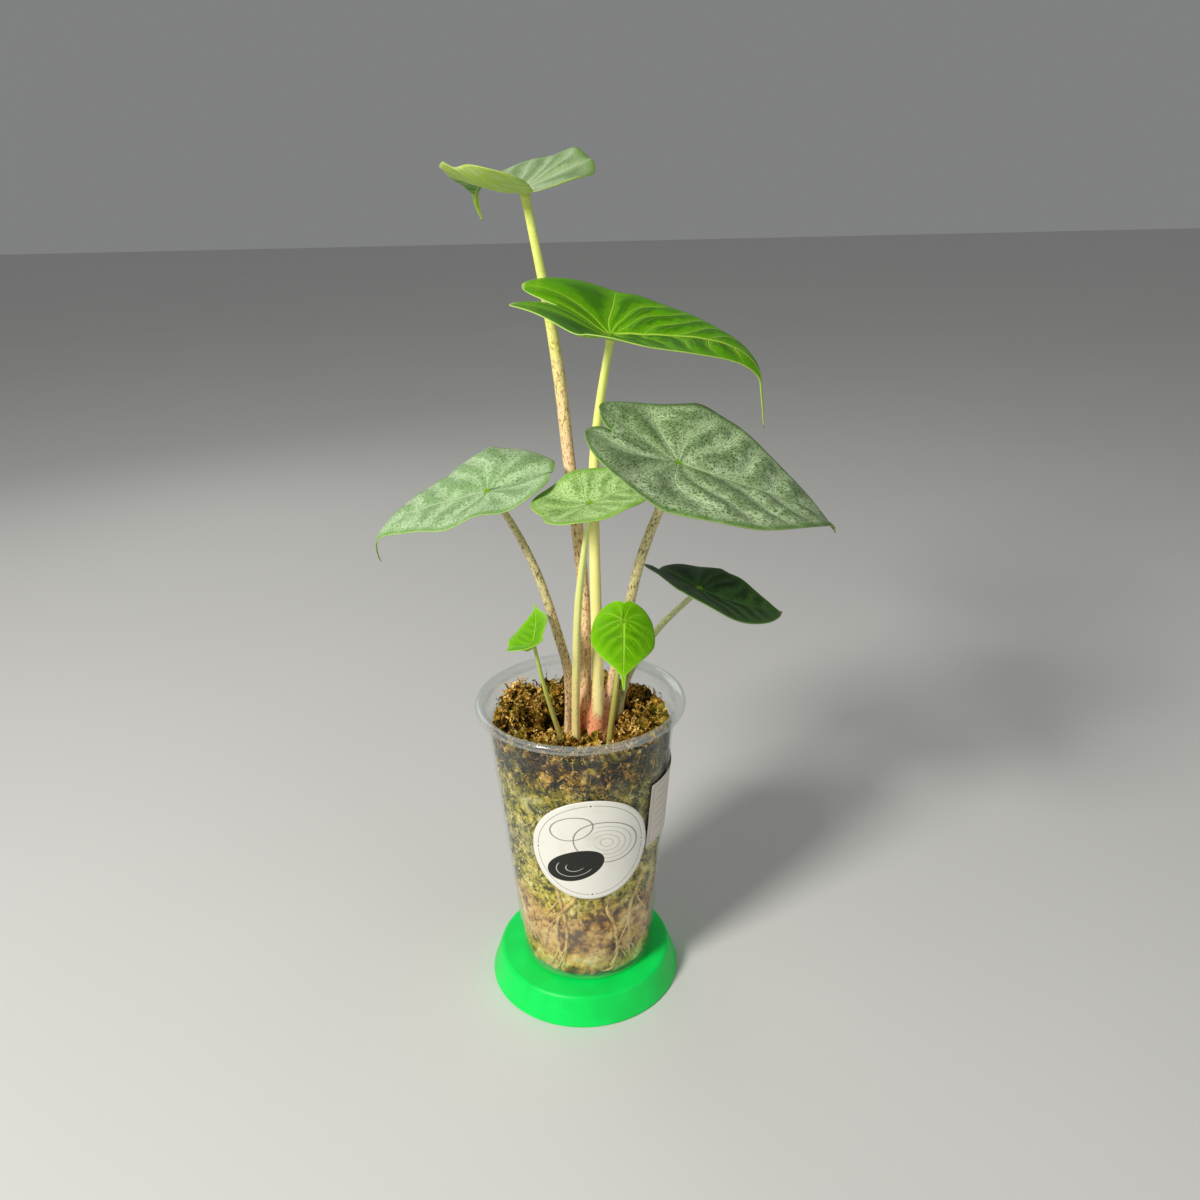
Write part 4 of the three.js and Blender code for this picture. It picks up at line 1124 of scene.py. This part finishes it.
def bladeGrids(leaf, rows, columns):
    # the numbers of both halves' spots: the second shares the midrib and the tip with the first
    left = np.arange(len(rows) * (columns + 1)).reshape(len(rows), columns + 1)
    right = left + left.size
    for grid in (left, right):
        grid[0] = grid[0, 0]
        grid[-1] = grid[-1, -1]
    joined = rows >= -leaf["sinus"] - 1e-6
    right[joined, 0] = left[joined, 0]
    right[0] = left[0]
    return left, right


def bladePiece(leaf, finish):
    fine = np.clip(0.45 + leaf["length"] / 110, 0.6, 1.15)
    columns = int(26 * fine)
    rows = bladeRows(leaf, fine)
    rib = ribCurve(leaf)
    halves = [bladeHalf(leaf, rib, side, rows, columns) for side in (1, -1)]
    points, flat, tracks, widths, gaps = (np.concatenate(pair) for pair in zip(*halves))
    quads = [np.stack([g[:-1, :-1], g[1:, :-1], g[1:, 1:], g[:-1, 1:]], -1).reshape(-1, 4)
             for g in bladeGrids(leaf, rows, columns)]
    quads, triangles = withoutSlivers(np.concatenate([quads[0], quads[1][:, ::-1]]))
    used = np.unique(np.concatenate([quads.ravel(), triangles.ravel()]))
    number = np.full(len(points), -1)
    number[used] = np.arange(len(used))
    quads, triangles = number[quads], number[triangles]
    points, flat, tracks, widths, gaps = (part[used] for part in (points, flat, tracks, widths, gaps))
    normals = pointNormals(points, quads, triangles)
    if (normals @ (leafTurn(leaf) @ np.array([0, 0, 1.0]))).mean() < 0:
        quads, triangles, normals = quads[:, ::-1], triangles[:, ::-1], -normals
    thin = 0.5 * bladeThickness * np.clip(0.45 + gaps / 3, 0.45, 1)
    taper = np.clip(1 - flat[:, 0] / (leaf["length"] + leaf["drip"]), 0, 1) * (flat[:, 0] > -leaf["sinus"])
    ribRidge = 0.75 * np.exp(-(np.abs(flat[:, 1]) / 1.1) ** 2) * taper
    upper = points + normals * thin[:, None]
    lower = points - normals * (thin + ribRidge)[:, None]
    count = len(points)
    edges = np.concatenate([quads[:, [k, (k + 1) % 4]] for k in range(4)]
                           + [triangles[:, [k, (k + 1) % 3]] for k in range(3)])
    keys = edges[:, 0] * count + edges[:, 1]
    border = edges[~np.isin(keys, edges[:, 1] * count + edges[:, 0])]
    rim = np.stack([border[:, 1], border[:, 0], border[:, 0] + count, border[:, 1] + count], -1)
    spots = {"flat": twice(flat), "vein": twice(tracks), "veinWidth": twice(widths), "rimGap": twice(gaps),
             "under": np.repeat([0.0, 1.0], count)}
    return makePiece("blade" + leaf["name"].capitalize(), np.concatenate([upper, lower]),
                     [quads, quads[:, ::-1] + count, rim, triangles, triangles[:, ::-1] + count],
                     spots, slot=bladeLooks[leaf["blade"]]["slot"], stands=["blade_" + leaf["name"]],
                     finish=finish)


def bladeFinish(leaf):
    look = bladeLooks[leaf["blade"]]
    paint = Finish("blade " + leaf["name"])
    flat = paint.spot("flat", "Vector")
    u, v = paint.split(flat)[:2]
    away, share = abs(v), u / leaf["length"]
    under, gap, track, width = (paint.spot(name) for name in ("under", "rimGap", "vein", "veinWidth"))
    cloud = paint.noise(flat, 0.06, 4.0, 0.55)
    patch = paint.noise(flat, 0.16)
    grain = paint.noise(flat, 0.9, 4.0, 0.65)
    ahead = paint.step(u, -3.0, 1.0)

    # the midrib, the side veins and the small ones between them
    sideVein = paint.fold(track, 0.5) * width
    minorVein = paint.fold(track * 4.0 + paint.noise(flat, 0.12, 2.0) * 1.4, 0.5) * width * 0.25
    ribWidth = look["rib"] - u * (0.7 * look["rib"] / leaf["length"])
    ribLine = (1 - paint.step(away / ribWidth, 0.35, 0.8)) * ahead
    veinLine = (1 - paint.step(sideVein, 0.1, 0.42)) * (0.3 + paint.step(gap, 0.5, 9.0) * 0.7)
    minorLine = (1 - paint.step(minorVein, 0.03, 0.2)) * paint.step(patch, 0.42, 0.58)
    minorLine = minorLine * paint.step(gap, 0.6, 3.0) * paint.step(width, 2.5, 8.0) * paint.step(u, -2.0, 6.0)

    # dark halfway between side veins, partly the leaf's own darker green and partly painted shade of its
    # quilted swelling; pale along them, and a net with dark cells over all
    halfway = paint.fold(track, 0.5) * 2.0
    dark = paint.step(halfway + (patch - 0.5) * 2.4 + (cloud - 0.5), 0.2, 0.85) * paint.step(gap, 1.0, 9.0)
    nearVein = 1 - paint.step(sideVein + (patch - 0.5) * 6.0, 0.3, 4.2)
    nearRib = (1 - paint.step(away + (patch - 0.5) * 5.0, 0.4, 5.0)) * ahead
    paleShare = paint.most(nearVein, nearRib) * look["paleShare"] * paint.step(patch, 0.3, 0.62, 0.35, 1.0)
    net = paint.cells(paint.warp(flat, 0.5, 1.4), 0.62, "DISTANCE_TO_EDGE")
    netLine = 1 - paint.step(net, 0.02, 0.2)
    fineNet = 1 - paint.step(paint.cells(flat, 1.35, "DISTANCE_TO_EDGE"), 0.03, 0.26)
    cell = paint.step(net, 0.12, 0.42) * paint.step(grain, 0.36, 0.58) * paint.step(gap, 0.8, 4.0, 0.4, 1.0)
    netShare = paint.most(netLine * 0.85, fineNet * paint.step(grain, 0.42, 0.6))
    netShare = netShare * look["netShare"] * (1 - dark * 0.55) * paint.step(cloud, 0.3, 0.65, 1.1, 0.7)

    drawn = paint.noise(paint.join(u * 0.5, v * 0.12, 0.0), 1.1, 3.0, 0.6)
    below = paint.layers(
        look["under"],
        # painted shade: the underside turns dark green towards the tip, where the top leaf droops into shade
        (look.get("tipUnderShade", look["under"]), paint.step(share, 0.5, 0.68)),
        (look["main"], paint.step(cloud, 0.45, 0.75) * 0.3),
        (look["vein"], paint.step(drawn, 0.48, 0.66) * 0.5),
        (look["vein"], paint.most(ribLine, veinLine * 0.8) * 0.6),
    )
    colour = paint.layers(
        look["main"],
        (look["deep"], dark * look["darkShare"]),
        (look["band"], paint.step(gap, 4.0, 0.8) * 0.6),
        (look["pale"], paleShare),
        (look["deep"], cell * look["cell"]),
        (look["net"], netShare * paint.step(gap, 0.8, 4.0, 0.2, 1.0)),
        (look["vein"], minorLine * look["minor"]),
        (look["vein"], paint.most(ribLine * 0.85, veinLine * look["line"])),
        (below, under),
        (look["drip"], paint.step(share, *look.get("tip", (0.92, 1.06))) * 0.85),
        (look["rim"], (1 - paint.step(gap, 0.2, 0.6)) * look["rimShare"]),
        (bladeMarks["collar"], 1 - paint.step(paint.length(flat), 0.8, 2.4)),
    )
    for spotU, spotV, size in leaf.get("marks", []):
        off = paint.vectorMaths("DISTANCE", flat, (spotU, spotV, 0.0), outlet="Value") + (patch - 0.5) * size
        colour = paint.layers(colour, (bladeMarks["dry"], 1 - paint.step(off, size * 0.5, size)),
                              (bladeMarks["burnt"], 1 - paint.step(off, size * 0.1, size * 0.5)))
    relief = netLine * 0.22 + grain * 0.35 - (ribLine + veinLine * 0.8 + minorLine * 0.3) * (1 - under * 2.0)
    rough = look["rough"] + netLine * 0.06 + cloud * 0.1 + under * 0.12
    return paint.done(paint.surface({
        "Base Color": colour, "Roughness": rough, "Normal": paint.bump(relief, 0.2), "IOR": 1.45,
        "Specular IOR Level": look["shine"], "Subsurface Weight": 0.1,
        "Subsurface Radius": (0.6, 1.0, 0.2), "Subsurface Scale": 0.0012}))


def stalkPath(leaf):
    normal = leafTurn(leaf) @ np.array([0, 0, 1.0])
    head = np.array(leaf["at"]) - normal * (bladeThickness / 2 + clearance)
    return [np.array(p, float) for p in leaf["stalk"]] + [head], normal


def stalkPiece(leaf, finish):
    line, bladeUp = stalkPath(leaf)
    sides, steps = 24, 96
    shares = np.linspace(0, 1, steps)
    places, directions = smoothCurve(line, shares)
    radii = np.interp(shares, np.linspace(0, 1, len(leaf["stalkRadii"])), leaf["stalkRadii"])
    lengths = np.concatenate([[0], np.cumsum(np.linalg.norm(np.diff(places, axis=0), axis=1))])
    left = lengths[-1] - lengths
    radii = radii * (1 + 0.35 * np.exp(-left / 2.2))  # spreads a little under the blade
    if leaf["stalk"][0][2] < 130:  # one that stands in the moss and not on the crown
        radii = radii * (1 + 0.12 * np.exp(-((places[:, 2] - 134) / 9) ** 2))
    ridges = {"ridged": 0.05, "cream": 0.022, "glassy": 0.02}.get(leaf["bark"], 0.012)

    def shape(turn, share):
        flute = ridges * np.cos(6 * turn + 1.3 + 1.2 * share)
        off = ((turn - 1.2) + math.pi) % (2 * math.pi) - math.pi
        groove = -0.1 * np.exp(-(off / 0.35) ** 2) * (1 - share) ** 2
        return 1 + flute * (1 - share * 0.6) + groove + 0.02 * np.sin(3 * turn + 9 * share)

    rings, turn, grown = ringsAround(places, directions, radii, sides, shape)
    slack = (rings[-1] - places[-1]) @ bladeUp / max(directions[-1] @ bladeUp, 0.25)
    rings[-1] -= directions[-1] * slack[:, None]  # the head is cut along the blade
    rings[-2] -= directions[-2] * (slack * 0.8)[:, None]
    around = roundSpots(grown, turn, lengths[:, None]).reshape(-1, 3)
    ends = np.array([[0, 0, 0], [0, 0, lengths[-1]]])
    climb = np.repeat(shares, sides)
    points = np.concatenate([rings.reshape(-1, 3), places[:1], places[-1:]])
    quads, triangles = tubeFaces(steps, sides)
    spots = {"bark": np.concatenate([around, ends]), "climb": np.concatenate([climb, [0, 1]])}
    return makePiece("stalk" + leaf["name"].capitalize(), points, [quads, triangles], spots,
                     slot=barkLooks[leaf["bark"]]["slot"], stands=["stalk_" + leaf["name"]], finish=finish)


def barkFinish(leaf):
    look = barkLooks[leaf["bark"]]
    paint = Finish("stalk " + leaf["name"])
    bark, climb = paint.spot("bark", "Vector"), paint.spot("climb")
    drawn = paint.stretch(bark, (1.0, 1.0, 0.36))
    streaky = paint.stretch(bark, (1.0, 1.0, 0.05))
    streak = paint.noise(streaky, 1.6, 4.0, 0.6)
    cloud = paint.noise(bark, 0.09)
    blot = paint.noise(drawn, 1.15 / look["size"], 4.0, 0.7)
    dot = paint.cells(drawn, 1.9 / look["size"])
    fade = 1 - paint.step(climb, *look["fade"]) * 0.85
    mottle = paint.step(blot, 0.56 - 0.06 * look["specks"], 0.62) * 0.85
    dots = (1 - paint.step(dot, 0.14, 0.3)) * paint.step(cloud, 0.3, 0.6)
    specks = paint.most(mottle * look["specks"], dots * look["specks"]) * fade
    colour = paint.layers(
        look["foot"],
        (look["head"], paint.step(climb + (cloud - 0.5) * 0.3, *look["change"])),
        (look["head"], paint.step(streak, 0.45, 0.62) * look["streak"] * 0.6),
        (barkStreak, paint.step(streak, 0.5, 0.3) * look["streak"] * 0.35),
        (look["speck"], specks),
    )
    rough = look["gloss"] + streak * 0.14 + specks * 0.1
    normal = paint.bump(streak * 0.8 + blot * 0.25, 0.12)
    return paint.done(paint.surface({"Base Color": colour, "Roughness": rough, "Normal": normal, "IOR": 1.45,
                                     "Specular IOR Level": 0.3, "Subsurface Weight": 0.12,
                                     "Subsurface Radius": (1.0, 0.8, 0.3), "Subsurface Scale": 0.0015}))


for leaf in leaves:
    bladePiece(leaf, bladeFinish(leaf))
    stalkPiece(leaf, barkFinish(leaf))
print("leaves made")


# Crown

def crownFinish():
    paint = Finish("crown skin")
    place = paint.place3d()
    x, z = paint.split(place)[::2]
    drawn = paint.stretch(place, (1.0, 1.0, 0.4))
    cloud = paint.noise(place, 110.0)
    rise = (z - 0.14) * 1000.0 + (cloud - 0.5) * 8.0
    creamy = paint.step(x, 0.0062, 0.0082) * paint.step(x, 0.0124, 0.0112) * paint.step(rise, 2.0, 10.0)
    blot = paint.noise(drawn, 700.0, 4.0, 0.7)
    dots = 1 - paint.step(paint.cells(drawn, 900.0), 0.16, 0.36)
    specks = paint.most(paint.step(blot, 0.56, 0.63), dots * paint.step(cloud, 0.35, 0.6))
    specks = specks * (1 - creamy * 0.8)
    colour = paint.layers(
        crown["salmon"],
        (crown["pale"], paint.step(rise, 1.0, 17.0)),
        (crown["cream"], creamy),
        (crown["speck"], specks * 0.85),
        (crown["soil"], paint.step(z, 0.1352, 0.1315) * 0.6),
    )
    streak = paint.noise(paint.stretch(place, (1.0, 1.0, 0.06)), 1500.0, 3.0)
    return paint.done(paint.surface({"Base Color": colour, "Roughness": 0.38 + blot * 0.12,
                                     "Normal": paint.bump(streak * 0.7 + specks * 0.2, 0.12),
                                     "Specular IOR Level": 0.35, "Subsurface Weight": 0.12,
                                     "Subsurface Radius": (1.0, 0.6, 0.3), "Subsurface Scale": 0.0015}))


def crownPiece():
    # sheaths of the three oldest stalks and the stem they grow from, melted into one skin
    points, faces = [], []
    total = 0

    def addRings(rings, foot, head):
        nonlocal total
        sides = rings.shape[1]
        points.extend([rings.reshape(-1, 3), foot[None], head[None]])
        quads, triangles = tubeFaces(len(rings), sides, total)
        faces.extend([quads, triangles])
        total += rings.shape[0] * sides + 2

    shares = np.linspace(0, 1, 24)
    swell = np.sin(math.pi / 2 * shares)
    tall = lerp(crown["bottom"], crown["top"] - 4, shares)
    domed = np.sqrt(np.clip(1 - (shares - 0.55).clip(0) ** 2 * 3.2, 0, 1))
    wideX = lerp(crown["footRadius"], crown["topRadiusX"] - 1.4, swell) * domed
    wideY = lerp(crown["footRadius"], crown["topRadiusY"] - 1.2, swell) * domed
    turn = turns(32)
    bottom = np.array([crown["x"], crown["y"], crown["bottom"]])
    rings = np.stack([crown["x"] + wideX[:, None] * np.cos(turn), crown["y"] + wideY[:, None] * np.sin(turn),
                      np.repeat(tall[:, None], 32, 1)], -1)
    addRings(rings, bottom, np.array([crown["x"], crown["y"], crown["top"] - 4]))
    for leaf in leaves[:3]:
        line = stalkPath(leaf)[0]
        upward = np.linspace(0, 0.16, 14)
        places, directions = smoothCurve(line, upward)
        radius = np.interp(upward, np.linspace(0, 1, len(leaf["stalkRadii"])), leaf["stalkRadii"])
        foot = lerp(bottom, line[0], 0.45)
        lower = np.array([lerp(foot, places[0], s) for s in np.linspace(0, 0.93, 10)])
        directions = np.concatenate([np.tile(unit(places[0] - foot), (10, 1)), directions])
        places = np.concatenate([lower, places])
        height = places[:, 2] - line[0][2]
        radius = np.concatenate([np.full(10, radius[0]), radius])
        radius = radius + 0.75 * np.clip(1 - (height + 6) / 22, 0, 1) ** 0.8
        keep = height < 15
        rings = ringsAround(places[keep], directions[keep], radius[keep], 24)[0]
        addRings(rings, places[0], places[keep][-1])
    rough = makePiece("crownRough", np.concatenate(points), faces)
    melt = rough.modifiers.new("melt", "REMESH")
    melt.mode = "VOXEL"
    melt.voxel_size = crown["voxel"] * 0.001
    soften = rough.modifiers.new("soften", "SMOOTH")
    soften.factor = 0.5
    soften.iterations = 7
    graph = bpy.context.evaluated_depsgraph_get()
    mesh = bpy.data.meshes.new_from_object(rough.evaluated_get(graph))
    mesh.polygons.foreach_set("use_smooth", np.ones(len(mesh.polygons), bool))
    bpy.data.objects.remove(rough)
    return dress(addObject("crownSheaths", mesh), "crown", ["crown"], crownFinish())


crownPiece()
print("crown made")


# Labels

roundLabel = {
    "turn": -84.5, "height": 95.5, "radius": 28.0, "ring": 25.2,
    "paper": "#f2f0e6", "ink": "#15140f", "line": "#8b897c",
}
sideLabel = {
    "turn": -11.0, "height": 104.5, "length": 44.0, "width": 34.0,
    # its paper is a darker grey beige than the round label's: painted shade
    "paper": "#ddd5c8", "line": "#5c564b",
}


def onCup(turn, height, along, up, lift):  # a spot on the outside of the cup
    z = height + up
    radius = cupRadius(z) + lift
    angle = math.radians(turn) + along / (cupRadius(z) + 0.5)
    return np.stack([cup["x"] + radius * np.cos(angle), cup["y"] + radius * np.sin(angle), z], -1)


def paperShell(name, label, along, up, grids, ring, edge, finish, node):
    # a thin sheet on the cup, with its edge lifted a hair here and there
    wander = 0.5 + 0.5 * np.sin(along * 0.21 + up * 0.33) * np.cos(along * 0.11 - up * 0.17)
    lift = 0.42 + 0.22 * np.clip(edge, 0, 1) ** 5 * wander
    outside = onCup(label["turn"], label["height"], along, up, lift + 0.14)
    inside = onCup(label["turn"], label["height"], along, up, lift - 0.1)
    count = len(along)
    quads, triangles = grids
    after = np.roll(ring, -1)
    rim = np.stack([ring, ring + count, after + count, after], -1)
    faces = [quads, quads[:, ::-1] + count, rim]
    if len(triangles):
        faces += [triangles, triangles[:, ::-1] + count]
    flat = np.stack([along, up, 0 * up], -1)
    return makePiece(name, np.concatenate([outside, inside]), faces, {"print": twice(flat)},
                     slot="label", stands=[node], finish=finish)


def roundPaper():
    rings, sides = 26, 112
    reach = roundLabel["radius"] * (np.arange(1, rings + 1) / rings) ** 0.8
    along, up = np.vstack([roundSpots(reach[:, None], turns(sides), 0).reshape(-1, 3), [[0, 0, 0]]]).T[:2]
    quads = gridFaces(rings, sides, True)
    triangles = fanFaces(rings * sides, np.arange(sides))
    ring = (rings - 1) * sides + np.arange(sides)
    edge = np.hypot(along, up) / roundLabel["radius"]
    paperShell("labelRound", roundLabel, along, up, (quads, triangles), ring, edge, roundPrint(),
               "label_round")


def sidePaper():
    columns, rows = 60, 38
    a, b = np.meshgrid(np.linspace(-0.5, 0.5, columns), np.linspace(-0.5, 0.5, rows), indexing="ij")
    along, up = (a * sideLabel["length"]).ravel(), (b * sideLabel["width"]).ravel()
    quads = gridFaces(columns, rows)
    number = np.arange(columns * rows).reshape(columns, rows)
    ring = np.concatenate([number[:, 0], number[-1, 1:], number[-2::-1, -1], number[0, -2:0:-1]])
    edge = np.maximum(np.abs(a), np.abs(b)).ravel() * 2
    paperShell("labelSide", sideLabel, along, up, (quads[:, ::-1], []), ring, edge, sidePrint(), "label_side")


def paperGround(paint, code):
    place = paint.place3d()
    fibre = paint.noise(place, 1400.0, 4.0, 0.6)
    stain = paint.noise(place, 70.0)
    colour = paint.mix(code, "#d9d4c2", paint.step(stain, 0.5, 0.75) * 0.5)
    return colour, fibre


def paperDone(paint, colour, fibre):
    return paint.done(paint.surface({"Base Color": colour, "Roughness": 0.42 + fibre * 0.2,
                                     "Normal": paint.bump(fibre, 0.05)}))


def roundPrint():
    # a plain ring with four dots, a dark pebble, two open ones and a few ripples
    paint = Finish("round label")
    colour, fibre = paperGround(paint, roundLabel["paper"])
    spot = paint.spot("print", "Vector")
    x, y = paint.split(spot)[:2]
    away = paint.length(spot)
    turn = paint.maths("ARCTAN2", y, x)
    eighth = math.pi / 4
    quarter = abs(paint.fold(turn + eighth, eighth) - eighth)
    broken = paint.step(quarter, 0.05, 0.055)
    offRing = abs(away - roundLabel["ring"])
    ring = (1 - paint.step(offRing, 0.08, 0.2)) * broken
    dot = (1 - paint.step(offRing, 0.25, 0.45)) * (1 - paint.step(quarter, 0.012, 0.02))

    def pebble(centreX, centreY, wide, tall, lean):
        c, s = math.cos(lean), math.sin(lean)
        offX, offY = x - centreX, y - centreY
        leaned = paint.join((offX * c + offY * s) / wide, (offY * c - offX * s) / tall, 0.0)
        return paint.length(leaned)

    dark = pebble(-7.5, -8.5, 14.0, 8.2, 0.35)
    pale = pebble(7.0, 4.0, 15.5, 11.0, -0.3)
    cap = pebble(-9.0, 12.5, 10.0, 6.2, 0.25)
    ink = 1 - paint.step(dark, 0.985, 1.0)
    rest = 1 - ink
    openLine = (1 - paint.step(abs(pale - 1.0), 0.012, 0.03)) * rest
    capLine = 1 - paint.step(abs(cap - 1.0), 0.02, 0.05)
    ripples = paint.fold(pale * 5.0, 0.5)
    ripples = (1 - paint.step(ripples, 0.03, 0.08)) * paint.step(pale, 1.0, 0.98)
    ripples = ripples * paint.step(x, 0.0, 3.0) * rest
    bands = 1 - paint.step(paint.fold(dark * 3.0, 0.5), 0.02, 0.06)
    bands = bands * ink * paint.step(y + x * 0.2, -9.5, -11.5)
    lines = paint.most(capLine, ripples * 0.7, openLine, ring)
    colour = paint.layers(colour, (roundLabel["line"], lines), (roundLabel["ink"], paint.most(ink, dot)),
                          (roundLabel["paper"], bands * 0.8))
    return paperDone(paint, colour, fibre)


def sidePrint():
    # blank ruled lines inside a thin frame
    paint = Finish("side label")
    colour, fibre = paperGround(paint, sideLabel["paper"])
    x, y = paint.split(paint.spot("print", "Vector"))[:2]
    rule = (1 - paint.step(paint.fold(y + 1.0, 2.0), 0.1, 0.22)) * paint.step(abs(x), 17.6, 17.3)
    rule = rule * paint.step(abs(y), 12.6, 12.3)
    frameLine = paint.most(abs(x) - 20.0, abs(y) - 15.0)
    frameLine = 1 - paint.step(abs(frameLine), 0.08, 0.2)
    colour = paint.mix(colour, sideLabel["line"], paint.most(rule * 0.7, frameLine * 0.6))
    return paperDone(paint, colour, fibre)


roundPaper()
sidePaper()
print("labels made")


# Studio

studio = {
    "floor": "#d8d8d5",
    "cloud": "#dededb",
    "reach": 6.0,
    "world": (0.98, 0.99, 1.0, 1.0),
    "worldStrength": 0.22,
    "key": {"at": (-0.78, -0.82, 1.0), "size": 0.34, "power": 19.0, "colour": (1.0, 0.97, 0.92)},
    "fill": {"at": (0.9, -0.7, 0.5), "size": 0.9, "power": 1.5, "colour": (0.92, 0.96, 1.0)},
    "back": {"at": (-0.5, 0.8, 0.7), "size": 0.7, "power": 1.2, "colour": (1.0, 1.0, 0.97)},
    "aim": (0.01, 0.0, 0.2),
    "camera": (0.01162, -0.43424, 0.37898),
    "forward": (0.0, 0.92573864, -0.37816395),
    "upward": (0.02216387, 0.37807106, 0.92551123),
    "lens": 31.5,
}


def floorFinish():
    paint = Finish("pale floor")
    place = paint.place3d()
    cloud = paint.noise(place, 3.0)
    colour = paint.mix(studio["floor"], studio["cloud"], cloud)
    return paint.done(paint.surface({"Base Color": colour, "Roughness": 0.75 + cloud * 0.1}))


def addLight(name, light):
    lamp = bpy.data.lights.new(name, "AREA")
    lamp.shape = "DISK"
    lamp.size = light["size"]
    lamp.energy = light["power"]
    lamp.color = light["colour"]
    holder = addObject(name, lamp)
    holder.location = light["at"]
    holder.rotation_mode = "QUATERNION"
    holder.rotation_quaternion = (Vector(studio["aim"]) - Vector(light["at"])).to_track_quat("-Z", "Y")


def addFloor():
    mesh = bpy.data.meshes.new("floor")
    reach = studio["reach"]
    corners = [(-reach, -reach, 0), (reach, -reach, 0), (reach, reach, 0), (-reach, reach, 0)]
    mesh.from_pydata(corners, [], [(0, 1, 2, 3)])
    mesh.materials.append(floorFinish())
    floor = addObject("floor", mesh)


def addCamera():
    lens = bpy.data.cameras.new("camera")
    lens.lens = studio["lens"]
    lens.sensor_width = 36.0
    lens.clip_start = 0.01
    lens.clip_end = 50.0
    camera = addObject("camera", lens)
    forward = Vector(studio["forward"]).normalized()
    upward = Vector(studio["upward"]).normalized()
    right = forward.cross(upward).normalized()
    turn = Matrix((right, upward, -forward)).transposed()
    camera.matrix_world = Matrix.Translation(Vector(studio["camera"])) @ turn.to_4x4()
    bpy.context.scene.camera = camera


def addWorld():
    world = bpy.data.worlds.new("studio")
    world.use_nodes = True
    ground = world.node_tree.nodes["Background"]
    ground.inputs["Color"].default_value = studio["world"]
    ground.inputs["Strength"].default_value = studio["worldStrength"]
    bpy.context.scene.world = world


addFloor()
for lamp in ("key", "fill", "back"):
    addLight(lamp, studio[lamp])
addWorld()
addCamera()
bpy.context.scene.view_settings.view_transform = "Standard"
print("studio made")
